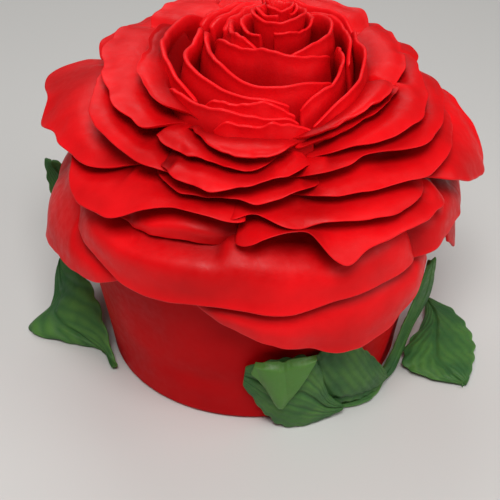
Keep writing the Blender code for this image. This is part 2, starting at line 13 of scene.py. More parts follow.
import bpy
import numpy as np
from bpy.props import FloatProperty, FloatVectorProperty, PointerProperty
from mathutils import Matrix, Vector

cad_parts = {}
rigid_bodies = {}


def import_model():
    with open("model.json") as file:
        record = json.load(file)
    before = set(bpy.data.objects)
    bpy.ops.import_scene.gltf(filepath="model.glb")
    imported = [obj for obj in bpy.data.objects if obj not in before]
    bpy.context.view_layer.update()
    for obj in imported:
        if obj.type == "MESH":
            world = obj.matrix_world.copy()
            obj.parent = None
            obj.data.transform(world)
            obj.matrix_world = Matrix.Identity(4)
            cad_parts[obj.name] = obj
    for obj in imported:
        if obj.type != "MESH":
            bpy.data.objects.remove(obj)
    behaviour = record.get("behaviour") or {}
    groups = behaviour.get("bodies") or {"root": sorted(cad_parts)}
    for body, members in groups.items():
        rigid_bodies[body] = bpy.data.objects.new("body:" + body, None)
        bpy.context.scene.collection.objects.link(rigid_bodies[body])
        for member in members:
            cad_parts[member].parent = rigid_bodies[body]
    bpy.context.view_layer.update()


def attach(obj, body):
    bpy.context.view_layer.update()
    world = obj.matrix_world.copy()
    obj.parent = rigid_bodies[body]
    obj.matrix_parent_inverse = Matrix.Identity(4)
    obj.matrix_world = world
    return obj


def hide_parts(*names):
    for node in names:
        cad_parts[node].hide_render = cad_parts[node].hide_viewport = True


bl_info = {
    "name": "Rose Cake",
    "version": (1, 0, 0),
    "blender": (4, 5, 0),
    "location": "View3D > Sidebar > Rose Cake",
    "description": "Dresses a rose-shaped fondant cake with petals, bud, leaves and finishes",
    "category": "Add Mesh",
}

for leftover in list(bpy.data.objects):
    bpy.data.objects.remove(leftover, do_unlink=True)
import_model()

MM = 0.001
TINY = 1e-9

# The camera and the square soft lamps: where each stands and how wide a lamp is, in metres
CAMERA_PLACE = (-0.0023, -0.4839, 0.3807)
CAMERA_PITCH = 34.46
CAMERA_LENS = 81.36
SENSOR_WIDTH = 36.0
LAMPS = {
    "key": ((0.0, -0.75, 1.25), 0.6),
    "fill": ((0.9, -0.35, 0.6), 0.6),
    "left": ((-0.95, -0.1, 0.8), 0.6),
    "back": ((-0.2, 1.0, 1.2), 0.9),
}
LAMP_TARGET = (0.0, 0.0, 0.1)
SKY_COLOUR = (1.0, 0.99, 0.97, 1)
FLOOR_REACH = 6.0
FLOOR_ROUGHNESS = 0.6

# The cake under the petals: a tapered side and a low dome with a flat top
FOOT_RADIUS = 75.0
BELLY_RADIUS = 88.0
BELLY_HEIGHT = 82.0
TOP_HEIGHT = 134.0
CORE_RISE = 66.0
CORE_POWER = 2.2
FOOT_ROUND = 3.0
GAP = 0.35

# The cover's facets: columns round the cake, and rows up its foot, its side and its dome
COVER_TURNS = 144
FOOT_ROWS = 5
SIDE_ROWS = 29
DOME_ROWS = 20
DOME_END = 3

# The cover's uneven waves: how quickly they run round the cake and up it, and the heights
# between which they set in and fade under the petals
COVER_WAVES = 2.8
COVER_CLIMB = (0.028, 0.02333)
COVER_START = (0, 12)
COVER_FADE = (55, BELLY_HEIGHT)

# Soft dents in the cover's side, which stands out where the depth is below zero: azimuth,
# height, depth, and how far that spreads each way
COVER_DENTS = (
    (-112, 25, 1.3, 15, 6),
    (-127, 44, 1.3, 7, 15),
    (-98, 30, -0.9, 8, 22),
    (-140, 22, 0.9, 7, 14),
    (-72, 36, 0.9, 8, 12),
)

# The rose's outer form, which the petals' lips keep to
ROSE_RADIUS = 103.0
ROSE_RISE = 90.0
ROSE_POWER = 2.6
ROSE_TUCK = 0.12

# Away from its lip a petal sinks under its neighbours: so many millimetres for each
# degree, up to the shoulder and below it
UPPER_SINK = 0.8
LOWER_SINK = 0.36
SHOULDER = 76.0

# Where the rose stands out from its round form or draws in: azimuth, polar angle, height,
# and how far that spreads each way
BULGES = (
    (-168, 92, 3.0, 28, 20),
    (-184, 79, -6.0, 35, 7.5),
    (-100, 84, -1.0, 20, 20),
    (-5, 84, -3.5, 30, 12),
)

# The bud stands this far towards +X of the middle. The petals round it move along, less
# and less out to SETTLED.
BUD_ASIDE = 12.0
SETTLED = 75.0

# Outer petals, uppermost first. Each spreads down the rose from its base to its lip. The
# rank is the polar angle at which it reaches the rose's form and grows by tilt towards the
# right-hand end. Past is how far the lip runs beyond it and flare how far the lip curls out.
Outer = namedtuple("Outer", "name azimuth half base rank tilt past flare waves phase")

OUTER_PETALS = (
    Outer("top_left", -162, 47, 24, 34.6, 5.6, 0, 0, 2.0, 0.4),
    Outer("top_back", 70, 42, 28, 38.5, 0, 0, 1, 2.5, 1.7),
    Outer("top_back_left", 117, 27, 30, 42.5, 0, 0, 1, 2.0, 0.2),
    Outer("top_right", -50, 27, 34, 43.2, -1.4, 0, 0, 2.5, 0.9),
    Outer("top_right_rear", 20, 40, 32, 44.2, 0, -2, 0, 2.0, 1.4),
    Outer("high_left", -167, 47, 32, 44.3, 3.0, 0, 1, 1.5, 0.0),
    Outer("high_right", -48, 28, 38, 46.9, -1.7, 0, 0, 2.0, 0.5),
    Outer("high_front", -97, 21, 42, 47.6, 0, 1, 1, 1.5, 2.4),
    Outer("high_back", 86, 46, 36, 48.0, 0, 0, 2, 2.5, 0.8),
    Outer("mid_right", -27, 45, 36, 51.2, -3.0, 0, 1, 2.0, 1.1),
    Outer("mid_front", -105, 22, 41, 50.9, 0, 0, 0, 2.0, 1.6),
    Outer("mid_left", -155, 44, 38, 52.6, 7.0, 0, 2, 2.0, 0.3),
    Outer("mid_back_left", 126, 33, 40, 53.0, 0, 0, 2, 2.0, 2.2),
    Outer("mid_front_left", -98, 24, 45, 54.2, 0, 0, 1, 2.0, 0.2),
    Outer("mid_back_right", 44, 33, 42, 54.5, 0, -2, 0, 2.5, 0.6),
    Outer("mid_right_low", -35, 45, 44, 55.9, -2.3, 0, 1, 1.5, 1.9),
    Outer("mid_back", 86, 44, 46, 59.0, 0, 0, 2, 2.0, 0.0),
    Outer("low_front", -97, 27, 48, 62.7, 0, 0, 1, 1.5, 1.4),
    Outer("ear_left", -169, 43, 46, 65.0, 0, 2, 0, 2.0, 0.7),
    Outer("shoulder_right", -40, 40, 50, 64.2, -2.5, 0, 1, 2.0, 0.8),
    Outer("low_back_right", 56, 34, 52, 66.0, 0, 1, 2, 2.5, 1.5),
    Outer("ear_right", -6, 27, 52, 67.6, 0, 8, 1, 2.0, 2.0),
    Outer("low_left", -133, 39, 54, 69.9, -4.0, 0, 2, 2.5, 0.9),
    Outer("low_front_right", -70, 35, 54, 70.4, 0, 0, 1, 2.0, 0.8),
    Outer("low_back_left", 126, 40, 54, 70.0, 0, 1, 2, 2.0, 0.5),
    Outer("low_mid_left", -122, 26, 60, 75.2, 0, 0, 0, 1.5, 1.2),
    Outer("low_right", -60.5, 33.5, 58, 75.4, 0, 0, 2, 2.5, 2.6),
    Outer("band_back", 84.5, 51.5, 62, 82, 0, 2, 1, 2.0, 1.3),
    Outer("band_right", -7, 39, 64, 86, 0, 0, 0, 1.5, 0.2),
    Outer("band_back_left", 132, 44, 72, 92, 0, 2, 0, 1.5, 0.0),
    Outer("band_front", -94, 58, 66, 94, 0, -8, 0, 2.0, 0.0),
    Outer("band_right_rear", 32, 40, 72, 95.5, 0, 2, 0, 2.0, 1.0),
    Outer("band_left", -168, 40, 73, 103, 0, -4, 0, 2.0, 0.4),
    Outer("band_low_front", -74, 42, 80, 104, 0, -3, -2, 1.5, 0.6),
)

# Where a petal's lip is uneven: its polar angle at these azimuths
LIPS = {
    "top_left": (
        (-208, 31), (-185, 32), (-169, 33), (-154, 36), (-137, 39), (-123, 41), (-117, 40), (-110, 37),
    ),
    "top_right": ((-76, 46), (-65, 45), (-54, 43.5), (-35, 42.5), (-24, 41)),
    "high_left": ((-214, 43), (-181, 43), (-161, 43.5), (-146, 45.5), (-133, 47), (-127, 48), (-122, 43)),
    "high_right": ((-76, 48), (-63, 46.5), (-50, 45), (-34, 44), (-20, 43)),
    "high_front": ((-118, 41), (-112.5, 44), (-108, 46), (-102, 48.5), (-93, 50.5), (-84, 49.5), (-76, 46.5)),
    "mid_right": ((-72, 51.5), (-60, 50.5), (-50, 51.5), (-37, 52), (-25, 51), (-9, 47.5), (18, 47)),
    "mid_front": ((-126, 47.5), (-121, 49), (-114, 50.5), (-103, 51.5), (-95, 53), (-88, 52.5), (-84, 50)),
    "mid_left": ((-199, 43.5), (-174, 44.5), (-161, 48), (-150, 51), (-133, 54), (-126, 55), (-110, 57)),
    "mid_front_left": ((-122, 53.5), (-116, 55), (-108, 57), (-102, 58), (-90, 56), (-74, 53)),
    "mid_right_low": ((-80, 55.5), (-62, 54), (-56, 53), (-48, 54.5), (-38, 57), (-15, 55), (10, 54)),
    "low_front": ((-124, 55), (-112, 59), (-95, 59.5), (-88, 60.5), (-81, 58.5), (-70, 57.5)),
    "ear_left": (
        (-212, 66), (-205, 68.5), (-195, 67), (-187, 65), (-180, 67), (-165, 63.5), (-142, 61.5), (-126, 56),
    ),
    "shoulder_right": ((-80, 59.5), (-64, 61), (-49, 62), (-38, 63.5), (-26, 62.5), (-13, 61), (0, 58)),
    "ear_right": ((-33, 68), (-22, 73), (-10, 77.5), (-4, 77), (4, 69), (21, 63)),
    "low_left": (
        (-172, 63), (-151, 65.5), (-145, 69), (-137, 70), (-128, 69.5), (-119, 65), (-111, 63), (-94, 66),
    ),
    "low_front_right": ((-105, 63), (-97, 64.5), (-92, 63), (-82, 66), (-68, 66), (-57, 68), (-35, 68)),
    "low_mid_left": ((-148, 70), (-131, 71), (-119, 72), (-107, 71.5), (-96, 73)),
    "low_right": ((-94, 72), (-85, 68), (-80, 67), (-76, 68), (-73, 73), (-70, 75.5), (-62, 74), (-27, 74)),
    "band_front": ((-152, 82), (-134, 83.5), (-124, 87), (-96, 87), (-85, 88.5), (-70, 87), (-36, 87.5)),
    "band_left": ((-208, 99), (-180, 97), (-160, 94), (-145, 93), (-136, 93), (-128, 91)),
    "band_low_front": (
        (-116, 86), (-107, 89.5), (-97, 95), (-87, 99), (-78, 102), (-67, 104), (-45, 101), (-32, 95),
    ),
    "band_right_rear": ((-8, 103), (0, 107), (8, 106), (18, 99), (45, 97), (72, 97)),
}

# Where a petal's lip stands away: the place across it, its half width and millimetres
STANDS = {
    "ear_left": (-0.8, 0.4, 14.0),
    "ear_right": (0.4, 0.5, 4.0),
    "low_right": (-0.55, 0.22, 6.0),
    "low_mid_left": (0.0, 2.0, -7.0),
}

# Where a petal is pressed in, or swells where the depth is below zero: azimuth, polar angle,
# depth, and how far that spreads each way
HOLLOWS = {
    "band_front": ((-77, 71, 7.0, 8, 4.5), (-97, 67.5, 3.0, 8, 4), (-120, 77, -4.0, 22, 5)),
    "low_right": ((-92, 72, -3.5, 5, 5),),
    "low_mid_left": ((-96, 72, 6.0, 7, 9),),
    "low_front_right": ((-76, 61.5, 3.5, 12, 2.4),),
    "shoulder_right": ((-45, 56.2, 3.2, 9, 2.4),),
    "ear_left": (
        (-138, 57.5, 4.0, 7, 4), (-190, 47, 8.0, 14, 3.2), (-163, 50, 8.0, 12, 3.2), (-146, 53.5, 5.0, 8, 3),
    ),
    "band_right": ((-46, 80, 6.0, 9, 20),),
    "mid_front_left": ((-123, 53, 3.5, 5, 8),),
}
# A place pressed in by this many millimetres gets painted shade as dark as in a fold
DARK_PRESS = 8.0

# A petal's bare part starts under the lips of the petals above, which are at least RANK_STEP
# lower in rank and end between these shares of their width. There it lies in a valley, which
# ends so many degrees further down, as does the painted shade in it, and then swells towards its
# own lip. A bare part that is narrower than FULL_STRIP swells less.
RANK_STEP = 0.5
COVER_ENDS = (0.9, 1.05)
VALLEY_END = 5.0
SHADE_START = -1
SHADE_END = 4.4
FULL_STRIP = 6.0
LEAST_STRIP = 0.5
SWELL_POWER = 1.3

# An outer petal spreads so many degrees past its ends, under its neighbours, and its foot is
# a little narrower. A petal as long as FULL_REACH narrows by the most towards its foot.
SPREAD_PAST = 1.5
FOOT_WIDTH = 0.86
NARROWING = 0.14
FULL_REACH = 8.0
LEAST_REACH = 1.6

# Where no lip line is given, the lip waves by this share of the petal's reach. Every lip
# draws in at the petal's ends.
LIP_WAVE = 0.06
END_DRAW = 0.1

# Along a petal, from 0 at its base to 1 at its lip: where it begins to curl, to thin and to
# roll at its lip, and between which places its thick root ends. A ruffled lip stands out a
# little on the whole, dents are shallow at the base, and the petal's ends tuck in past
# TUCK_START of its half width.
CURL_START = 0.55
CURL_POWER = 1.4
CURL_WAVE = 0.4
THINNING_START = 0.6
ROLL_START = 0.84
LIP_ROLL_POWER = 1.6
ROOT_RANGE = (0.2, 0.75)
RUFFLE_SET = 0.45
DENT_BASE = 0.3
TUCK_START = 0.72

# How quickly the soft waves run over a sheet, across it and along it
WANDER_WAVES = 15.4
RUFFLE_WAVES = 14.4
DENT_WAVES = (4.4, 3.0)
CUP_WAVES = (11.0, 2.2)
BUD_LIP_WAVES = 16.8
BUD_WAVES = (15.0, 2.5)

# A wave is the sum of three, each finer than the one before
DRIFT_SIZES = (1.0, 1.7, 2.9)
DRIFT_ACROSS = 0.7
DRIFT_SUM = 1.9

# A cup petal stands round the bud, from near the cake's top up to the rose's form and
# rise beyond it. Its run is its lip's radius at these azimuths.
Cup = namedtuple("Cup", "name rise run waves phase")

CUP_PETALS = (
    Cup("cup_inner_left", 3.5, ((-210, 19), (-183, 19), (-133, 21.5), (-96, 23)), 1.5, 0.0),
    Cup("cup_inner_right", 3.5, ((-79, 25), (-45, 26), (-6, 26), (25, 23), (62, 19.5)), 1.5, 0.9),
    Cup("cup_inner_front", 2.5, ((-165, 25), (-129, 25.5), (-100, 26.5), (-62, 33), (-34, 31)), 2.0, 0.4),
    Cup("cup_rear", 2.0, ((55, 23.5), (90, 22.5), (130, 22.5), (158, 23)), 2.0, 1.1),
    Cup(
        "cup_wide_front", 0.5,
        ((-196, 27.5), (-172, 28.5), (-131, 36), (-109, 43), (-94, 47.5), (-62, 47.5), (-50, 44.5)),
        2.5, 1.8,
    ),
    Cup("cup_back", 0.5, ((60, 32.5), (75, 31), (100, 29.5), (130, 29.5), (150, 30.5)), 2.5, 0.2),
    Cup("cup_right", 0.5, ((-74, 57.5), (-60, 53.5), (-44, 45), (-30, 36.5), (-15, 30)), 2.0, 0.6),
    Cup("cup_left", 0.5, ((-205, 33), (-179, 31.5), (-143, 43), (-115, 50), (-78, 55)), 2.0, 0.9),
    Cup("cup_back_right", 0.5, ((-30, 40.5), (-5, 35.5), (13, 34.5), (41, 28.5), (70, 27.5)), 2.0, 0.3),
    Cup("cup_right_low", 0.0, ((-70, 65), (-54, 60), (-36, 53), (-20, 46.5), (-5, 40.5), (18, 41)), 2.5, 0.5),
    Cup("cup_back_left", 0.0, ((75, 38), (110, 36), (145, 37.5)), 2.0, 1.0),
    Cup("cup_left_low", 0.0, ((-230, 44), (-169, 46), (-144, 49.5), (-120, 54.5)), 2.0, 0.8),
    Cup("cup_back_outer", 0.0, ((22, 45.5), (45, 43), (80, 43), (122, 44)), 2.5, 0.5),
    Cup("cup_front", 0.0, ((-115, 57), (-100, 58), (-88, 58), (-76, 59.5)), 2.0, 0.0),
    Cup("cup_front_mid", 0.0, ((-137, 54), (-115, 61), (-98, 63), (-75, 64)), 2.0, 1.5),
    Cup("cup_front_low", 0.0, ((-106, 66.8), (-95, 67.5), (-81, 68), (-70, 68)), 2.0, 0.0),
)

# A standing petal flares out above this height, and leans in over this depth below its lip.
# Its lip waves, wanders, draws in at its ends and is rolled out over its last millimetres.
CUP_FLARE = 0.009
CUP_UPRIGHT = 148.0
CUP_LEAN = 0.5
LEAN_DEPTH = 16.0
CUP_LIP_WAVE = 1.0
CUP_LIP_WANDER = 0.9
CUP_END_DRAW = 0.2
CUP_ROLL_HEIGHT = 5.0
CUP_SIDE_WAVE = 0.25
CUP_SIDE_WANDER = 0.9
ROLL_POWER = 1.8

# A standing sheet thickens over this depth, to this thickness round the bud and in it
CUP_THICKENING = 9.0
CUP_FILL = 3.6
BUD_FILL = 2.6
LEAST_RADIUS = 0.4

# How far out the feet of the standing petals reach: radius at these azimuths. The bases
# of the outer petals stay outside.
COLLAR = (
    (-180, 44.8), (-156, 45.4), (-146, 48.5), (-139, 53.5), (-125, 57.6), (-118, 61), (-112, 63.5),
    (-109, 68.4), (-95, 69), (-68, 69.6), (-64, 67), (-54, 61), (-44, 55.6), (-36, 52.8),
    (-28, 50.8), (-20, 46.6), (-12, 42.6), (4, 41.6), (18, 44), (45, 42.6), (120, 43), (180, 44.8),
)

# The polar angles tried when a petal's base is sought
TRIED_ANGLES = np.arange(20.0, 90.0, 0.5)

# How far a sheet may slant before its thickness stops growing with the slant
LEAST_SQUARENESS = 0.45

# The bud is wrapped from five sheets, outermost first
Wrap = namedtuple("Wrap", "name azimuth half height inset twist waves phase")

BUD_WRAPS = (
    Wrap("fold", -10, 85, 176.0, -4.4, 1.0, 2.0, 0.3),
    Wrap("back_fold", 150, 95, 174.5, -3.2, 1.0, 2.0, 1.3),
    Wrap("outer", -50, 168, 180.5, 0.0, 1.6, 2.5, 0.6),
    Wrap("middle", 110, 160, 182.0, 3.6, 1.0, 3.5, 2.0),
    Wrap("heart", -20, 170, 183.5, 6.8, 0.6, 2.5, 1.0),
)

# The bud swells from its neck to its lip, which waves, wanders and is rolled out
BUD_NECK = 10.6
BUD_RADIUS = 12.4
BUD_LIP = 180.0
BUD_LIP_WAVE = 0.8
BUD_LIP_WANDER = 0.6
BUD_ROLL_HEIGHT = 4.0
BUD_CRINKLE = 0.5
BUD_TURNS = 72

# A leaf spans two edges that run from its stalk to its tip. Each point of an edge is an
# azimuth, how far it stands off the side of the cake and its height. Veins run from the
# midrib: so many of them, drawn towards the tip by sweep. Past FAN_SWEEP they fan out along
# the leaf.
Leaf = namedtuple("Leaf", "name near far camber ripple veins sweep midrib")

LEAVES = (
    Leaf(
        "leaf_front_left",
        ((-59, 6, 6), (-66, 5.5, 20), (-72, 4.8, 46), (-82, 1.9, 46), (-93, 1.2, 41)),
        ((-59, 6.5, 4), (-67, 6, 0.4), (-79, 6.5, 0.4), (-87, 1.6, 9), (-94, 1.2, 28)),
        1.5, 0.4, 9, 6.0, 0.45,
    ),
    Leaf(
        "leaf_front_right",
        ((-75, 1.2, 40), (-67, 1.0, 46), (-57, 1.4, 43), (-47, 2.5, 28), (-38, 4.5, 9)),
        ((-75, 1.2, 12), (-66, 1.4, 9), (-55, 5.5, 5.5), (-45, 7, 4.6), (-37, 6, 5)),
        2.5, 0.3, 11, -0.35, 0.9,
    ),
    Leaf(
        "leaf_right_upright",
        ((-60, 3, 1), (-47, 3.5, 1.8), (-33, 1.6, 6), (-27, 2.5, 28), (-23, 3.5, 46), (-19, 4.5, 60)),
        ((-59, 5, 0.4), (-48, 10, 0.4), (-33, 6, 0.4), (-17, 5, 12), (-11, 9.5, 36), (-15, 6.5, 62)),
        0.5, 0.5, 12, 0.6, 0.5,
    ),
    Leaf(
        "leaf_right_flat",
        ((10, 20, 3), (-5, 14, 4), (-17, 7.5, 4), (-27, 11, 2), (-28, 27, 1), (-26, 42, 0.4)),
        ((10, 22, 3), (5, 33, 1.5), (-4, 40, 1), (-12, 43, 1), (-20, 43.5, 1), (-26, 44, 0.4)),
        3.0, 0.6, 8, 0.55, 0.42,
    ),
    Leaf(
        "leaf_left",
        ((164, 30, 26), (172, 15, 27), (182, 6, 23), (193, 3, 14), (204, 3.5, 5), (209, 4.5, 2)),
        ((166, 32, 25), (175, 36, 3), (183, 46, 0.4), (189, 27, 1), (194, 7.5, 1), (208, 7, 0.4)),
        -1.0, 0.4, 7, 0.4, 0.6,
    ),
    Leaf(
        "leaf_back_left",
        ((151, 9, 0.4), (151, 8, 28), (157, 12, 58), (163, 20, 82)),
        ((152, 13, 0.4), (158, 26, 26), (162, 30, 58), (164, 27, 84)),
        2.0, 0.8, 9, 0.6, 0.5,
    ),
    Leaf(
        "leaf_back",
        ((62, 9, 2), (72, 7, 6), (86, 9, 5), (99, 18, 0.4)),
        ((62, 11, 1), (70, 31, 1), (84, 35, 2), (99, 20, 0.4)),
        3.0, 0.8, 8, 0.6, 0.5,
    ),
)

# The top of the front left leaf is folded over and hangs down its face
FLAP = Leaf(
    "leaf_flap",
    ((-90, 4.4, 45), (-86.5, 5.6, 46), (-83, 6.6, 47), (-80, 7.2, 48), (-76, 8.0, 49), (-72, 8.6, 50)),
    ((-91, 4.2, 40), (-87, 5.6, 31), (-82.5, 7.2, 17), (-80.8, 7.4, 17), (-77, 8.0, 29), (-73, 9.0, 44)),
    1.2, 0.3, 2, 0.2, 0.02,
)

# A leaf waves along its length, is toothed and thins towards its edges, and pressed furrows
# run on both sides of a deeper midrib
LEAF_THICKNESS = 1.8
LEAF_WAVES = 2.5
LEAF_TEETH = 0.05
TEETH_WAVES = 45.0
TEETH_UNEVEN = 0.3
FAN_SWEEP = 2
FURROW_POWER = 0.7
RIB_WIDTH = 0.05
RIB_DEPTH = 1.6
LEAF_RIM = 0.93
LEAF_THINNING = 0.55
LEAF_EDGE = 0.8

# Facets across and along each sheet, before each is halved once. They lie closer towards
# the lip by this power.
OUTER_GRID = (40, 16)
BAND_GRID = (56, 16)
CUP_GRID = (36, 14)
LEAF_GRID = (30, 56)
LIP_CROWDING = 1.35

# Seeds of the waves: the first of each kind of sheet, and the step to the next sheet
COVER_SEED = 5
OUTER_SEED = 100
CUP_SEED = 500
BUD_SEED = 900
SEED_STEP = 10

# How strongly the painted highlight on a sheet's lip shows: its share grows with this power
# along the sheet
OUTER_LIP_POWER = 24
CUP_LIP_POWER = 6
# How dark the painted shade gets below a standing sheet's lip
CUP_SHADE = 0.5

# Sugar paste lets a little light in. Its patches of colour and of gloss change between
# these values of the noise, and its fine tooth adds this much to its dimples.
PASTE_GLOW = 0.08
GLOW_REACH = (1.0, 0.25, 0.15)
GLOW_SCALE = 0.002
PATCH_RANGE = (0.35, 0.65)
PATCH_DETAIL = 4.0
DIMPLE_DETAIL = 3.0
TOOTH_DETAIL = 2.0
DIMPLE_SCALE = 260.0
TOOTH_SCALE = 1600.0
TOOTH_HEIGHT = 0.2
SKIN_RELIEF = 0.0006


# What sugar paste is mixed from: two colours that drift into each other and the dark one painted
# as shade in folds, the scale of their patches, how strongly the painted fold shade and the painted
# highlight on lips show, its dullest and shiniest roughness, how strongly its skin stands out, and
# its gloss
Paste = namedtuple("Paste", "colour deep folded patches fold lip dull shiny relief gloss")


# The kinds of setting that a user can change
def metres(name, description, default):
    return FloatProperty(name=name, description=description, default=default, unit="LENGTH")


def tint(name, description, default):
    look = {"name": name, "description": description, "default": default}
    return FloatVectorProperty(**look, size=3, subtype="COLOR")


def watts(name, description, default):
    return FloatProperty(name=name, description=description, default=default, unit="POWER")


class SheetSizes(bpy.types.PropertyGroup):
    petal_thickness: metres("Petal thickness", "Thickness of a petal away from its lip", 0.0020)
    lip_thickness: metres("Lip thickness", "Thickness of a petal where its lip was thinned by hand", 0.0017)
    ruffle: metres("Ruffle", "How far small waves push a lip in and out", 0.0016)
    lip_wander: metres("Lip wander", "How far a lip's line wanders up and down", 0.0005)
    lip_roll: metres("Lip roll", "How far a lip is turned out at its very edge", 0.0014)
    cover_dent: metres("Cover dents", "Depth of the soft uneven waves in the cover's side", 0.0005)
    cup_roll: metres("Cup lip roll", "How far a standing petal's lip is turned out", 0.0022)
    pillow: metres("Pillow", "How far a petal swells between its base and its lip", 0.0025)
    root: metres("Root", "How much thicker a petal is at its base, under the petals above", 0.007)
    valley: metres("Valley", "How deep a petal falls behind its swell, under the petal above", 0.0022)
    end_tuck: metres("End tuck", "How deep a petal's ends are pressed under its neighbours", 0.0034)
    dent: metres("Dents", "Depth of the soft dents that fingers leave in a sheet", 0.0010)
    vein_depth: metres("Vein depth", "Depth of the veins pressed into a leaf", 0.0009)


class PasteColours(bpy.types.PropertyGroup):
    petal: tint("Petal red", "Bright red of the petals", (0.82, 0.003, 0.006))
    petal_deep: tint("Petal deep red", "Darker red that drifts through the petals", (0.55, 0.0015, 0.003))
    # Painted shade: the dark red where a petal runs under the next
    petal_fold: tint("Petal fold red", "Dark red where a petal runs under the next", (0.20, 0.0008, 0.0015))
    # The cover's reds are darker than the petals' red, as painted shade for the cake's side, which gets less
    # light
    cover: tint("Cover red", "Red of the cake's cover below the petals", (0.58, 0.003, 0.005))
    cover_deep: tint("Cover deep red", "Darker red that drifts through the cover", (0.44, 0.002, 0.004))
    leaf: tint("Leaf green", "Green of the leaves", (0.075, 0.185, 0.035))
    # Drifts through the leaves, and is painted as shade in their pressed veins
    leaf_deep_and_vein_shade: tint("Leaf deep green", "Darker green in the leaves' veins", (0.03, 0.10, 0.028))
    flap: tint("Folded leaf green", "Lighter green of the folded end of a leaf", (0.075, 0.205, 0.03))
    floor: tint("Floor", "Colour of the plain floor", (0.60, 0.59, 0.57))


class StageLight(bpy.types.PropertyGroup):
    key_power: watts("Key light", "Power of the large lamp above the front", 17.0)
    fill_power: watts("Fill light", "Power of the lamp at the right", 3.0)
    left_power: watts("Left light", "Power of the lamp at the left", 0.5)
    back_power: watts("Back light", "Power of the lamp above the floor behind the cake", 5.5)
    surround: FloatProperty(
        name="Surround",
        description="Strength of the even light from all round",
        default=0.12,
        min=0.0,
    )


def run_through(points, places):
    """Values at the places on a smooth curve through (place, value) points."""
    x, y = np.array(points, float).T
    slope = np.gradient(y, x)
    i = np.clip(np.searchsorted(x, places) - 1, 0, len(x) - 2)
    step = x[i + 1] - x[i]
    t = np.clip((places - x[i]) / step, 0, 1)
    ease = t * t * (3 - 2 * t)
    leave = (t**3 - 2 * t**2 + t) * step * slope[i]
    arrive = (t**3 - t**2) * step * slope[i + 1]
    return y[i] + (y[i + 1] - y[i]) * ease + leave + arrive


def drift(seed, u, v):
    """Soft uneven waves over a sheet, between about -1 and 1, the same on every run."""
    draw = np.random.default_rng(seed)
    total = 0
    for size in DRIFT_SIZES:
        turn, start = draw.uniform(0, tau, 2)
        along = np.cos(turn) * u + np.sin(turn) * v
        across = np.sin(turn) * u - np.cos(turn) * v
        total = total + np.sin(size * along + start) * np.cos(DRIFT_ACROSS * size * across) / size
    return total / DRIFT_SUM


def smooth_step(places, start, end):
    """0 before start, 1 past end, and an even change between them."""
    share = np.clip((places - start) / (end - start), 0, 1)
    return share * share * (3 - 2 * share)


def growth_past(places, start, power=1.0):
    """0 up to start, growing to 1 at the place 1."""
    return np.clip((places - start) / (1 - start), 0, 1) ** power


def spot(turn, polar, azimuth, level, spread, extent):
    """1 in the middle of a soft spot, falling to 0 all round it."""
    return np.exp(-(((turn - azimuth) / spread) ** 2) - ((polar - level) / extent) ** 2)


def turn_off(turn, azimuth):
    """How far a turn lies off an azimuth, between -180 and 180."""
    return (turn - azimuth + 180) % 360 - 180


def side_radius(height):
    """The cake's radius below its widest level."""
    return FOOT_RADIUS + (BELLY_RADIUS - FOOT_RADIUS) * np.clip(height / BELLY_HEIGHT, 0, 1)


def dome_distance(angle, radius, rise, power):
    """How far a dome's surface lies from its centre."""
    across, upward = np.abs(np.sin(angle)) / radius, np.abs(np.cos(angle)) / rise
    return (across**power + upward**power) ** (-1 / power)


def core_distance(angle):
    """How far the cake's surface under the petals lies from the dome's centre."""
    dome = dome_distance(angle, BELLY_RADIUS, CORE_RISE, CORE_POWER)
    return np.minimum(dome, (TOP_HEIGHT - BELLY_HEIGHT) / np.cos(angle))


def rose_distance(turn, polar):
    """How far the rose's outer form lies from the dome's centre."""
    angle = np.radians(polar)
    dome = dome_distance(angle, ROSE_RADIUS, ROSE_RISE, ROSE_POWER)
    side = ROSE_RADIUS / (np.abs(np.sin(angle)) + TINY - ROSE_TUCK * np.cos(angle))
    form = np.where(polar <= 90, dome, side)
    for azimuth, level, height, spread, reach in BULGES:
        form = form + height * spot(turn_off(turn, azimuth), polar, 0, level, spread, reach)
    return form


def sink(polar):
    """How deep a sheet of rank zero would lie at a polar angle."""
    return UPPER_SINK * np.minimum(polar, SHOULDER) + LOWER_SINK * np.maximum(polar - SHOULDER, 0)


def cup_point(turn, level, radius):
    turn = np.radians(turn)
    return np.stack([radius * np.cos(turn), radius * np.sin(turn), level + 0 * turn], axis=-1)


def dome_point(turn, polar, distance):
    polar = np.radians(polar)
    return cup_point(turn, BELLY_HEIGHT + distance * np.cos(polar), distance * np.sin(polar))


def sheet_places(across, along):
    """u runs from -1 to 1 across a petal, v from 0 at its base to 1 at its lip, closer there."""
    v = np.linspace(0, 1, along + 1)[None, :]
    return np.linspace(-1, 1, across + 1)[:, None], 1 - (1 - v) ** LIP_CROWDING


def cup_flare(level):
    """How far a standing petal leans out at a height."""
    return CUP_FLARE * np.maximum(level - CUP_UPRIGHT, 0) ** 2


def inner_limit(turn, rank):
    """The polar angle at which a sheet of a rank clears the standing petals."""
    azimuths, reaches = np.array(COLLAR).T
    slope = np.radians(TRIED_ANGLES)
    limits = []
    for azimuth, own_rank in zip(turn.ravel(), (rank + 0 * turn).ravel()):
        distance = rose_distance(azimuth, TRIED_ANGLES) - sink(own_rank) + sink(TRIED_ANGLES)
        clear = distance * np.sin(slope) - cup_flare(BELLY_HEIGHT + distance * np.cos(slope))
        reach = np.interp(turn_off(azimuth, 0), azimuths, reaches)
        limits.append(np.interp(reach, clear, TRIED_ANGLES))
    return np.array(limits)[:, None]


def covered_to(petal, turn):
    """The polar angle down to which the petals above lie over a petal, at each turn."""
    reach = 0 * turn
    for above in OUTER_PETALS:
        if above.rank > petal.rank - RANK_STEP:
            continue
        aside = turn_off(turn, above.azimuth)
        lip = above.rank + above.past
        if above.name in LIPS:
            lip = run_through(LIPS[above.name], above.azimuth + aside)
        shown = 1 - smooth_step(np.abs(aside) / above.half, *COVER_ENDS)
        reach = np.maximum(reach, lip * shown)
    return reach


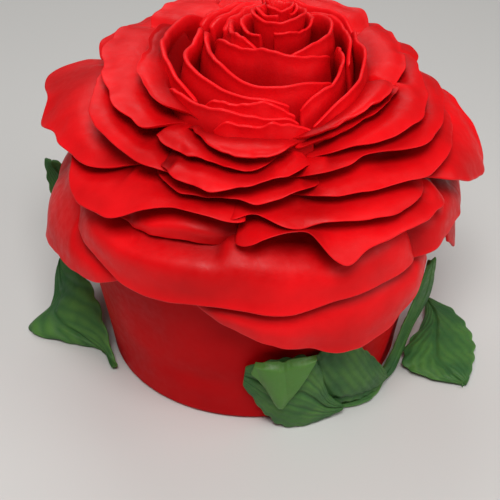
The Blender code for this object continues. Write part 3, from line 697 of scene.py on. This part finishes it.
def outer_edges(petal, seed, u, wave, rank, sizes):
    """The polar angles of an outer petal's base and lip, across it."""
    half = petal.half + SPREAD_PAST
    reach = petal.rank + petal.past - petal.base
    edge = petal.azimuth + half * u
    foot = petal.azimuth + half * u * FOOT_WIDTH
    lip = rank + petal.past + LIP_WAVE * reach * wave
    if petal.name in LIPS:
        lip = run_through(LIPS[petal.name], edge)
    lip = lip + sizes.lip_wander / MM * drift(seed, WANDER_WAVES * u, 0)
    lip = lip - END_DRAW * reach * np.abs(u) ** 6
    base = np.maximum(inner_limit(edge, rank), inner_limit(foot, rank))
    base = np.maximum(base, petal.base)
    return base, np.maximum(lip, base + LEAST_REACH)


def outer_form(petal, seed, sizes):
    """(turn, polar, distance) of an outer petal's top, v, and how dark its painted shade is, in the valley
    under the petals above and in deep hollows.
    """
    u, v = sheet_places(*(BAND_GRID if petal.name.startswith("band") else OUTER_GRID))
    wave = np.sin(pi * petal.waves * u + petal.phase)
    rank = petal.rank + petal.tilt * u
    base, lip = outer_edges(petal, seed, u, wave, rank, sizes)
    polar = base + (lip - base) * v
    narrowing = NARROWING * np.minimum((lip - base) / FULL_REACH, 1)
    half = (petal.half + SPREAD_PAST) * (1 - narrowing * (1 - np.sin(pi / 2 * v)))
    turn = petal.azimuth + half * u
    shown = 1 - u**4
    lift = growth_past(v, CURL_START, CURL_POWER) * (petal.flare + CURL_WAVE * wave) * shown
    if petal.name in STANDS:
        place, width, height = STANDS[petal.name]
        lift = lift + height * v**3 * np.exp(-(((u - place) / width) ** 2))
    ruffle = RUFFLE_SET + drift(seed + 1, RUFFLE_WAVES * u, 0)
    lift = lift + sizes.ruffle / MM * ruffle * v**4 * shown
    lift = lift + sizes.lip_roll / MM * growth_past(v, ROLL_START, LIP_ROLL_POWER) * shown
    dents = drift(seed + 2, DENT_WAVES[0] * u, DENT_WAVES[1] * v)
    lift = lift + sizes.dent / MM * dents * (DENT_BASE + (1 - DENT_BASE) * v)
    lift = lift - sizes.end_tuck / MM * smooth_step(np.abs(u), TUCK_START, 1)
    start = np.maximum(covered_to(petal, turn), base)
    bare = polar - start
    strip = np.maximum(lip - start, LEAST_STRIP)
    swell = np.sin(pi * np.clip(bare / strip, 0, 1) ** SWELL_POWER) * np.minimum(strip / FULL_STRIP, 1)
    lift = lift + sizes.pillow / MM * swell * shown
    lift = lift - sizes.valley / MM * (1 - smooth_step(bare, 0, VALLEY_END))
    # Hollows pressed in deep get painted shade, full at DARK_PRESS millimetres
    pressed = 0 * polar
    for azimuth, level, depth, spread, extent in HOLLOWS.get(petal.name, ()):
        hollow = spot(turn, polar, azimuth, level, spread, extent)
        lift = lift - depth * hollow
        pressed = pressed + max(depth, 0) / DARK_PRESS * hollow
    distance = rose_distance(turn, polar) - sink(rank) + sink(polar) + lift
    # Painted shade: dark in the valley under the petals above, and in deep hollows
    shade = np.maximum(1 - smooth_step(bare, SHADE_START, SHADE_END), np.minimum(pressed, 1))
    return turn, polar, distance, v + 0 * u, shade


def rolled_lip(level, top, depth):
    """0 below a standing sheet's lip, growing to 1 over the depth up to its top."""
    return np.clip((level - top + depth) / depth, 0, 1) ** ROLL_POWER


def cup_form(petal, seed, sizes):
    """(turn, level, radius) of a cup petal's outer face, and v."""
    u, v = sheet_places(*CUP_GRID)
    floor = TOP_HEIGHT + GAP
    wave = np.sin(pi * petal.waves * u + petal.phase)
    first, last = petal.run[0][0], petal.run[-1][0]
    turn = first + (last - first) * (u + 1) / 2
    lip = run_through(petal.run, turn)
    height = BELLY_HEIGHT + ROSE_RISE * (1 - (lip / ROSE_RADIUS) ** ROSE_POWER) ** (1 / ROSE_POWER)
    top = height + petal.rise + CUP_LIP_WAVE * wave + CUP_LIP_WANDER * drift(seed, RUFFLE_WAVES * u, 0)
    top = top - CUP_END_DRAW * (height - floor) * np.abs(u) ** 5
    level = floor + (top - floor) * v
    deep = np.clip(top - level, 0, LEAN_DEPTH)
    lean = CUP_LEAN * deep * (1 - 0.5 * deep / LEAN_DEPTH)
    turned = sizes.cup_roll / MM * rolled_lip(level, top, CUP_ROLL_HEIGHT)
    wander = drift(seed + 1, CUP_WAVES[0] * u, CUP_WAVES[1] * v)
    uneven = CUP_SIDE_WAVE * wave * v + CUP_SIDE_WANDER * wander * v**4
    return turn + 0 * v, level, lip + lean + turned + uneven, v + 0 * u


def bud_form(wrap, seed):
    """(turn, level, radius) of one of the bud's wrapped sheets, and v."""
    u, v = sheet_places(BUD_TURNS, CUP_GRID[1])
    floor = TOP_HEIGHT + GAP
    wave = np.sin(pi * wrap.waves * u + wrap.phase)
    top = wrap.height + BUD_LIP_WAVE * wave + BUD_LIP_WANDER * drift(seed, BUD_LIP_WAVES * u, 0)
    level = floor + (top - floor) * v
    share = np.clip((level - floor) / (BUD_LIP - floor), 0, 1.1)
    body = BUD_NECK + (BUD_RADIUS - BUD_NECK) * share**2 - wrap.inset + wrap.twist * u
    turned = rolled_lip(level, top, BUD_ROLL_HEIGHT)
    wander = drift(seed + 1, BUD_WAVES[0] * u, BUD_WAVES[1] * v)
    crinkle = BUD_CRINKLE * (wave + wander) * v**4
    return wrap.azimuth + wrap.half * u + 0 * v, level, body + turned + crinkle, v + 0 * u


def facing_of(points):
    """The direction square to a sheet at each of its points."""
    facing = np.cross(np.gradient(points, axis=0), np.gradient(points, axis=1))
    return facing / (np.linalg.norm(facing, axis=-1, keepdims=True) + TINY)


def square_step(to_point, turn, rise, outer):
    """How much of a sheet's thickness, measured square to it, one millimetre inwards gives."""
    points = to_point(turn, rise, outer)
    step = to_point(turn, rise, outer + 1.0) - points
    return np.clip(np.abs((facing_of(points) * step).sum(axis=-1)), LEAST_SQUARENESS, 1)


def settle_aside(points):
    """Moves the middle of the rose towards +X, along with the bud."""
    radius = np.hypot(points[..., 0], points[..., 1])
    points[..., 0] += BUD_ASIDE * np.maximum(0, 1 - radius / SETTLED)
    return points


def sheet_mesh(name, under, over, shares):
    """A closed sheet between two grids of points. Each share is kept on both sides."""
    rows, columns = under.shape[:2]
    count = rows * columns
    index = np.arange(count).reshape(rows, columns)
    corners = (index[:-1, :-1], index[1:, :-1], index[1:, 1:], index[:-1, 1:])
    lower = np.stack([c.ravel() for c in corners], axis=-1)
    upper = lower[:, ::-1] + count
    rim = np.concatenate([index[:, 0], index[-1, 1:], index[-2::-1, -1], index[0, -2:0:-1]])
    ahead = np.roll(rim, -1)
    sides = np.stack([ahead, rim, rim + count, ahead + count], axis=-1)
    points = np.concatenate([under.reshape(-1, 3), over.reshape(-1, 3)])
    mesh = closed_mesh(name, points, np.concatenate([lower, upper, sides]).tolist())
    for label, share in shares.items():
        kept = mesh.attributes.new(label, "FLOAT", "POINT")
        kept.data.foreach_set("value", np.tile(share.ravel(), 2).astype(np.float32))
    return mesh


def closed_mesh(name, points, faces):
    """A smooth mesh of points in millimetres, with its faces turned outwards."""
    mesh = bpy.data.meshes.new(name)
    mesh.from_pydata((points * MM).tolist(), [], faces)
    places = np.array([v.co for v in mesh.vertices])
    corners = np.array([p.vertices[:3] for p in mesh.polygons])
    a, b, c = (places[corners[:, k]] for k in range(3))
    if (np.cross(a, b) * c).sum() < 0:
        mesh.flip_normals()
    mesh.shade_smooth()
    return mesh


def plain_object(name, data):
    """A new object that holds the data."""
    made = bpy.data.objects.new(name, data)
    bpy.context.scene.collection.objects.link(made)
    return made


def add_piece(name, mesh, finish, node=None):
    """A piece with its finish and rounded edges, in place of a node of the part if one is given."""
    piece = plain_object(name, mesh)
    mesh.materials.append(finish)
    rounding = piece.modifiers.new("Soft edges", "SUBSURF")
    rounding.levels = rounding.render_levels = 1
    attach(piece, "root")
    if node:
        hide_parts(node)


def join_meshes(name, meshes):
    """One mesh of several closed shells."""
    shell, *others = [plain_object(name, mesh) for mesh in meshes]
    with bpy.context.temp_override(active_object=shell, selected_editable_objects=[shell, *others]):
        bpy.ops.object.join()
    joined = shell.data
    bpy.data.objects.remove(shell)
    joined.name = name
    return joined


def cover_profile():
    """(radius, height) of the cover, from its foot up to its top."""
    bend = np.linspace(0, pi / 2, FOOT_ROWS + 1)[:-1]
    foot_rise = FOOT_ROUND * (1 - np.cos(bend))
    foot_out = side_radius(FOOT_ROUND) - FOOT_ROUND * (1 - np.sin(bend))
    side_rise = np.linspace(FOOT_ROUND, BELLY_HEIGHT, SIDE_ROWS + 1)[:-1]
    angle = np.radians(np.linspace(90, DOME_END, DOME_ROWS))
    dome_out = core_distance(angle) * np.sin(angle)
    dome_rise = BELLY_HEIGHT + core_distance(angle) * np.cos(angle)
    radius = np.concatenate([foot_out, side_radius(side_rise), dome_out])
    return radius[:, None], np.concatenate([foot_rise, side_rise, dome_rise])[:, None]


def cover_mesh(sizes):
    """The cake's cover: a turned skin with a rounded foot and soft dents in its side."""
    radius, height = cover_profile()
    turn = np.linspace(-180, 180, COVER_TURNS + 1)[None, :-1]
    east = COVER_WAVES * np.cos(np.radians(turn)) + COVER_CLIMB[0] * height
    north = COVER_WAVES * np.sin(np.radians(turn)) - COVER_CLIMB[1] * height
    shown = smooth_step(height, *COVER_START) * (1 - smooth_step(height, *COVER_FADE))
    radius = radius + sizes.cover_dent / MM * (drift(COVER_SEED, east, north) - 1) * shown
    for azimuth, level, depth, spread, extent in COVER_DENTS:
        radius = radius - depth * spot(turn, height, azimuth, level, spread, extent) * shown
    rings = cup_point(turn, height, radius)
    index = np.arange(len(rings) * COVER_TURNS).reshape(len(rings), COVER_TURNS)
    ahead = np.roll(index, -1, axis=1)
    faces = np.stack([index[:-1], ahead[:-1], ahead[1:], index[1:]], axis=-1).reshape(-1, 4).tolist()
    points = np.concatenate([rings.reshape(-1, 3), [(0, 0, 0), (0, 0, TOP_HEIGHT)]])
    bottom, top = len(points) - 2, len(points) - 1
    faces += [(bottom, ahead[0, i], index[0, i]) for i in range(COVER_TURNS)]
    faces += [(top, index[-1, i], ahead[-1, i]) for i in range(COVER_TURNS)]
    return closed_mesh("cake_cover", points, faces)


def cup_sheet(name, form, sizes, fill):
    """A standing sheet. Below its lip it thickens to fill, so that it meets the next one in."""
    turn, level, radius, v = form
    slant = square_step(cup_point, turn, level, radius)
    depth = np.clip((level.max(axis=1, keepdims=True) - level) / CUP_THICKENING, 0, 1)
    thickness = sizes.lip_thickness / MM + (fill - sizes.lip_thickness / MM) * depth
    inner = np.maximum(radius - thickness / slant, LEAST_RADIUS)
    # A painted highlight along the lip, and painted shade below it
    shares = {"lip": v**CUP_LIP_POWER, "depth": CUP_SHADE * depth**2}
    under = settle_aside(cup_point(turn, level, inner))
    over = settle_aside(cup_point(turn, level, radius))
    return sheet_mesh(name, under, over, shares)


def outer_sheet(petal, seed, sizes):
    """A petal laid over the dome, thinned towards its lip."""
    turn, polar, distance, v, shade = outer_form(petal, seed, sizes)
    slant = square_step(dome_point, turn, polar, distance)
    thin, thick = sizes.lip_thickness / MM, sizes.petal_thickness / MM
    thickness = thick + (thin - thick) * growth_past(v, THINNING_START)
    thickness = thickness + sizes.root / MM * (1 - smooth_step(v, *ROOT_RANGE))
    under = settle_aside(dome_point(turn, polar, distance - thickness / slant))
    over = settle_aside(dome_point(turn, polar, distance))
    # A painted highlight along the lip, and the painted shade in folds and hollows
    return sheet_mesh(petal.name, under, over, {"lip": v**OUTER_LIP_POWER, "depth": shade})


def edge_run(points, count):
    """Evenly shared places on a smooth curve through an edge's points."""
    points = np.array(points, float)
    first, last = 2 * points[0] - points[1], 2 * points[-1] - points[-2]
    ends = np.concatenate([[first], points, [last]])
    place = np.linspace(0, len(points) - 1, count)
    i = np.minimum(place.astype(int), len(points) - 2)
    t = (place - i)[:, None]
    a, b, c, d = (ends[i + k] for k in range(4))
    bend = (2 * a - 5 * b + 4 * c - d) * t**2 + (3 * b - a - 3 * c + d) * t**3
    return b + 0.5 * ((c - a) * t + bend)


def leaf_places(leaf, s, t):
    """(turn, stand, level) over a leaf between its two toothed edges."""
    near = edge_run(leaf.near, len(s))[:, None, :]
    far = edge_run(leaf.far, len(s))[:, None, :]
    teeth = np.abs(np.sin(pi * leaf.veins * s)) - 0.5
    teeth = LEAF_TEETH * (teeth + TEETH_UNEVEN * drift(int(leaf.veins), TEETH_WAVES * s, 0))
    place = near + (far - near) * (t + (2 * t - 1) * teeth)[..., None]
    turn, stand, level = np.moveaxis(place, -1, 0)
    return turn, stand, np.maximum(level, GAP)


def leaf_sheet(leaf, sizes):
    """A leaf with pressed veins on both faces. It faces away from the cake, or up."""
    across, along = LEAF_GRID
    s, t = np.linspace(0, 1, along + 1)[:, None], np.linspace(0, 1, across + 1)[None, :]
    turn, stand, level = leaf_places(leaf, s, t)
    points = cup_point(turn, level, side_radius(level) + stand)
    facing = facing_of(points)
    away_and_up = cup_point(turn, 0 * turn, 1) + np.array([0, 0, 1])
    facing = facing * np.sign((facing * away_and_up).sum())
    swell = leaf.camber * 4 * t * (1 - t) * np.sin(pi * s)
    swell = swell + leaf.ripple * np.sin(LEAF_WAVES * tau * s + 2 * t) * (2 * t - 1) ** 2
    points = points + facing * np.abs(swell)[..., None] * np.sign(leaf.camber)
    aside = np.abs(t - leaf.midrib) / max(leaf.midrib, 1 - leaf.midrib)
    phase = leaf.sweep * aside + 0 * s
    if abs(leaf.sweep) < FAN_SWEEP:
        phase = leaf.veins * (s - leaf.sweep * aside)
    furrow = np.abs(np.sin(pi * phase)) ** FURROW_POWER
    rib = np.exp(-((aside / RIB_WIDTH) ** 2))
    relief = sizes.vein_depth / MM * (furrow * (1 - rib) - RIB_DEPTH * rib)
    points = points + facing * relief[..., None]
    edge = growth_past(np.abs(2 * t - 1), LEAF_EDGE)
    thickness = LEAF_THICKNESS * (1 - LEAF_THINNING * edge)
    under, over = points, points + facing * thickness[..., None]
    for side in (under, over):
        side[..., 2] = np.maximum(side[..., 2], GAP)
    # A painted highlight along the rim, and painted shade in the pressed veins and midrib
    shares = {"lip": growth_past(aside, LEAF_RIM) + 0 * s, "depth": 1 - furrow * (1 - rib)}
    return sheet_mesh(leaf.name, under, over, shares)


def make_group(name, inputs, outputs):
    """A node group, the outputs of its input node, and its output node."""
    group = bpy.data.node_groups.new(name, "ShaderNodeTree")
    for label, default in inputs.items():
        kind = "NodeSocketFloat" if isinstance(default, float) else "NodeSocketColor"
        socket = group.interface.new_socket(name=label, in_out="INPUT", socket_type=kind)
        socket.default_value = default
    for label, kind in outputs.items():
        group.interface.new_socket(name=label, in_out="OUTPUT", socket_type=kind)
    given, out = group.nodes.new("NodeGroupInput"), group.nodes.new("NodeGroupOutput")
    return group, given.outputs, out


def set_inputs(tree, node, inputs):
    """Sets a node's inputs to values, or links them to the outputs of other nodes."""
    for name, value in inputs.items():
        if isinstance(value, bpy.types.NodeSocket):
            tree.links.new(value, node.inputs[name])
        else:
            node.inputs[name].default_value = value


def add_node(tree, kind, inputs, **settings):
    """The outputs of a new shader node with these settings and inputs."""
    node = tree.nodes.new("ShaderNode" + kind)
    for name, value in settings.items():
        setattr(node, name, value)
    set_inputs(tree, node, inputs)
    return node.outputs


def add_noise(tree, place, scale, detail):
    return add_node(tree, "TexNoise", {"Vector": place, "Scale": scale, "Detail": detail})["Fac"]


def add_range(tree, noise, ends):
    """The middle stretch of a noise, spread over a range."""
    inputs = {"Value": noise, "From Min": PATCH_RANGE[0], "From Max": PATCH_RANGE[1], **ends}
    return add_node(tree, "MapRange", inputs)["Result"]


def add_mix(tree, share, first, second, blending="MIX"):
    """A mix of two colours."""
    colours = {"Factor": share, "A": first, "B": second}
    return add_node(tree, "Mix", colours, data_type="RGBA", blend_type=blending)["Result"]


def add_share(tree, label, strength):
    """A share kept on the sheets' points, times a strength."""
    kept = add_node(tree, "Attribute", {}, attribute_name=label)["Fac"]
    return add_node(tree, "Math", {0: kept, 1: strength}, operation="MULTIPLY")["Value"]


def make_colour_group():
    """Two colours that drift into each other, with a painted highlight at a thin lip and painted shade in
    folds.
    """
    inputs = {
        "Colour": (0.6, 0.01, 0.01, 1),
        "Deep colour": (0.4, 0.01, 0.01, 1),
        "Fold colour": (0.2, 0.01, 0.01, 1),
        "Patch scale": 30.0,
        "Fold darkness": 0.3,
        "Lip lightness": 0.2,
    }
    group, given, out = make_group("Paste colour", inputs, {"Colour": "NodeSocketColor"})
    place = add_node(group, "TexCoord", {})["Object"]
    patches = add_range(group, add_noise(group, place, given["Patch scale"], PATCH_DETAIL), {})
    blend = add_mix(group, patches, given["Deep colour"], given["Colour"])
    # Painted shade where the depth share is high, and a painted highlight at thin lips
    fold = add_share(group, "depth", given["Fold darkness"])
    darker = add_mix(group, fold, blend, given["Fold colour"])
    lip = add_share(group, "lip", given["Lip lightness"])
    lighter = add_mix(group, lip, darker, given["Colour"], "SCREEN")
    set_inputs(group, out, {"Colour": lighter})


def make_grain_group():
    """The skin of rolled paste: soft dimples, a fine tooth, and duller and shinier patches."""
    inputs = {"Dimple scale": DIMPLE_SCALE, "Tooth scale": TOOTH_SCALE, "Dull": 0.5, "Shiny": 0.35}
    outputs = {"Height": "NodeSocketFloat", "Roughness": "NodeSocketFloat"}
    group, given, out = make_group("Paste grain", inputs, outputs)
    place = add_node(group, "TexCoord", {})["Object"]
    dimples = add_noise(group, place, given["Dimple scale"], DIMPLE_DETAIL)
    tooth = add_noise(group, place, given["Tooth scale"], TOOTH_DETAIL)
    heights = {0: tooth, 1: TOOTH_HEIGHT, 2: dimples}
    height = add_node(group, "Math", heights, operation="MULTIPLY_ADD")["Value"]
    rough = add_range(group, dimples, {"To Min": given["Shiny"], "To Max": given["Dull"]})
    set_inputs(group, out, {"Height": height, "Roughness": rough})


def paste_material(name, paste):
    """Sugar paste: a drifting colour under a soft satin skin."""
    finish = bpy.data.materials.new(name)
    finish.use_nodes = True
    tree = finish.node_tree
    colours = {
        "Colour": (*paste.colour, 1),
        "Deep colour": (*paste.deep, 1),
        "Fold colour": (*paste.folded, 1),
        "Patch scale": paste.patches,
        "Fold darkness": paste.fold,
        "Lip lightness": paste.lip,
    }
    paint = add_node(tree, "Group", colours, node_tree=bpy.data.node_groups["Paste colour"])
    gloss = {"Dull": paste.dull, "Shiny": paste.shiny}
    grain = add_node(tree, "Group", gloss, node_tree=bpy.data.node_groups["Paste grain"])
    heights = {"Strength": paste.relief, "Distance": SKIN_RELIEF, "Height": grain["Height"]}
    skin = {
        "Base Color": paint["Colour"],
        "Roughness": grain["Roughness"],
        "Normal": add_node(tree, "Bump", heights)["Normal"],
        "Specular IOR Level": paste.gloss,
        "Subsurface Weight": PASTE_GLOW,
        "Subsurface Radius": GLOW_REACH,
        "Subsurface Scale": GLOW_SCALE,
    }
    set_inputs(tree, tree.nodes["Principled BSDF"], skin)
    return finish


def finish_named(name):
    """One of the four pastes, mixed on first use."""
    if "Paste colour" not in bpy.data.node_groups:
        make_colour_group()
        make_grain_group()
    if name in bpy.data.materials:
        return bpy.data.materials[name]
    mix = bpy.context.scene.paste_colours
    petal = (mix.petal, mix.petal_deep, mix.petal_fold)
    cover = (mix.cover, mix.cover_deep, mix.cover_deep)
    leaf = (mix.leaf, mix.leaf_deep_and_vein_shade, mix.leaf_deep_and_vein_shade)
    flap = (mix.flap, mix.leaf, mix.leaf)
    # The fold and lip strengths paint shade in folds and veins and a highlight on lips and leaf rims; the
    # cover has neither
    recipes = {
        "Red petal paste": Paste(*petal, 22.0, 0.85, 0.45, 0.52, 0.38, 0.35, 0.16),
        "Red cover paste": Paste(*cover, 18.0, 0.0, 0.0, 0.6, 0.45, 0.15, 0.05),
        "Green leaf paste": Paste(*leaf, 60.0, 0.8, 0.5, 0.62, 0.48, 0.4, 0.25),
        "Green flap paste": Paste(*flap, 60.0, 0.2, 0.8, 0.55, 0.4, 0.3, 0.3),
    }
    return paste_material(name, recipes[name])


def add_floor(colour):
    """A plain pale floor that runs past the picture's edges."""
    mesh = bpy.data.meshes.new("floor")
    corners = np.array([(-1, -1, 0), (1, -1, 0), (1, 1, 0), (-1, 1, 0)]) * FLOOR_REACH
    mesh.from_pydata(corners.tolist(), [], [(0, 1, 2, 3)])
    paint = bpy.data.materials.new("Pale floor")
    paint.use_nodes = True
    surface = {"Base Color": (*colour, 1), "Roughness": FLOOR_ROUGHNESS}
    set_inputs(paint.node_tree, paint.node_tree.nodes["Principled BSDF"], surface)
    mesh.materials.append(paint)
    floor = plain_object("floor", mesh)


def add_lamp(name, place, size, power):
    """A square soft lamp that faces the middle of the rose."""
    lamp = plain_object(name, bpy.data.lights.new(name, "AREA"))
    lamp.data.size = size
    lamp.data.energy = power
    lamp.location = place
    facing = Vector(LAMP_TARGET) - lamp.location
    lamp.rotation_euler = facing.to_track_quat("-Z", "Y").to_euler()


def add_camera():
    """The camera stands in front of the cake and looks down at it."""
    camera = plain_object("camera", bpy.data.cameras.new("camera"))
    camera.location = CAMERA_PLACE
    camera.rotation_euler = (radians(90 - CAMERA_PITCH), 0, 0)
    camera.data.lens = CAMERA_LENS
    camera.data.sensor_width = SENSOR_WIDTH
    bpy.context.scene.camera = camera


class ROSE_OT_stage(bpy.types.Operator):
    """Sets the plain pale floor, the soft lamps and the camera"""

    bl_idname = "rose_cake.stage"
    bl_label = "Set Stage"

    def execute(self, context):
        light = context.scene.stage_light
        add_floor(context.scene.paste_colours.floor)
        for name, (place, size) in LAMPS.items():
            add_lamp(name, place, size, getattr(light, name + "_power"))
        world = bpy.data.worlds.new("surround")
        context.scene.world = world
        world.use_nodes = True
        sky = world.node_tree.nodes["Background"]
        sky.inputs["Color"].default_value = SKY_COLOUR
        sky.inputs["Strength"].default_value = light.surround
        context.scene.view_settings.view_transform = "Standard"
        add_camera()
        return {"FINISHED"}


class ROSE_OT_cover(bpy.types.Operator):
    """Lays the red cover over the cake under the petals"""

    bl_idname = "rose_cake.cover"
    bl_label = "Cover Cake"

    def execute(self, context):
        mesh = cover_mesh(context.scene.sheet_sizes)
        add_piece("cake_cover", mesh, finish_named("Red cover paste"), "cake_body")
        return {"FINISHED"}


class ROSE_OT_bud(bpy.types.Operator):
    """Wraps the closed bud in the middle of the rose"""

    bl_idname = "rose_cake.bud"
    bl_label = "Wrap Bud"

    def execute(self, context):
        sizes = context.scene.sheet_sizes
        sheets = []
        for order, wrap in enumerate(BUD_WRAPS):
            form = bud_form(wrap, BUD_SEED + SEED_STEP * order)
            sheets.append(cup_sheet("bud_" + wrap.name, form, sizes, BUD_FILL))
        mesh = join_meshes("bud", sheets)
        add_piece("rose_bud", mesh, finish_named("Red petal paste"), "bud")
        return {"FINISHED"}


def add_petal(petal, mesh):
    """A red petal in place of the part's node of its name."""
    finish = finish_named("Red petal paste")
    add_piece("rolled_" + petal.name, mesh, finish, "petal_" + petal.name)


class ROSE_OT_cup_petals(bpy.types.Operator):
    """Stands the cup petals round the bud"""

    bl_idname = "rose_cake.cup_petals"
    bl_label = "Stand Cup Petals"

    def execute(self, context):
        sizes = context.scene.sheet_sizes
        for order, petal in enumerate(CUP_PETALS):
            form = cup_form(petal, CUP_SEED + SEED_STEP * order, sizes)
            add_petal(petal, cup_sheet(petal.name, form, sizes, CUP_FILL))
        return {"FINISHED"}


class ROSE_OT_outer_petals(bpy.types.Operator):
    """Lays the outer petals over the dome and the wide bands round the side"""

    bl_idname = "rose_cake.outer_petals"
    bl_label = "Lay Outer Petals"

    def execute(self, context):
        sizes = context.scene.sheet_sizes
        for order, petal in enumerate(OUTER_PETALS):
            add_petal(petal, outer_sheet(petal, OUTER_SEED + SEED_STEP * order, sizes))
        return {"FINISHED"}


class ROSE_OT_leaves(bpy.types.Operator):
    """Lays the veined green leaves round the foot"""

    bl_idname = "rose_cake.leaves"
    bl_label = "Lay Leaves"

    def execute(self, context):
        sizes = context.scene.sheet_sizes
        for leaf in LEAVES:
            mesh = leaf_sheet(leaf, sizes)
            finish = finish_named("Green leaf paste")
            add_piece("veined_" + leaf.name, mesh, finish, leaf.name)
        add_piece("folded_flap", leaf_sheet(FLAP, sizes), finish_named("Green flap paste"))
        return {"FINISHED"}


class ROSE_PT_panel(bpy.types.Panel):
    """Lists the rose cake's steps and settings"""

    bl_label = "Rose Cake"
    bl_idname = "ROSE_PT_panel"
    bl_space_type = "VIEW_3D"
    bl_region_type = "UI"
    bl_category = "Rose Cake"

    def draw(self, context):
        column = self.layout.column()
        for step in STEPS:
            column.operator(step.bl_idname)
        for settings in SETTINGS:
            group = getattr(context.scene, settings)
            for name in group.__annotations__:
                column.prop(group, name)


SETTINGS = {
    "sheet_sizes": SheetSizes,
    "paste_colours": PasteColours,
    "stage_light": StageLight,
}
STEPS = (
    ROSE_OT_stage,
    ROSE_OT_cover,
    ROSE_OT_bud,
    ROSE_OT_cup_petals,
    ROSE_OT_outer_petals,
    ROSE_OT_leaves,
)


def register():
    for kind in (*SETTINGS.values(), *STEPS, ROSE_PT_panel):
        bpy.utils.register_class(kind)
    for name, kind in SETTINGS.items():
        setattr(bpy.types.Scene, name, PointerProperty(type=kind))


def unregister():
    for name in SETTINGS:
        delattr(bpy.types.Scene, name)
    for kind in (ROSE_PT_panel, *reversed(STEPS), *reversed(SETTINGS.values())):
        bpy.utils.unregister_class(kind)


def main():
    register()
    for step in STEPS:
        group, name = step.bl_idname.split(".")
        getattr(getattr(bpy.ops, group), name)()


if __name__ == "__main__":
    main()
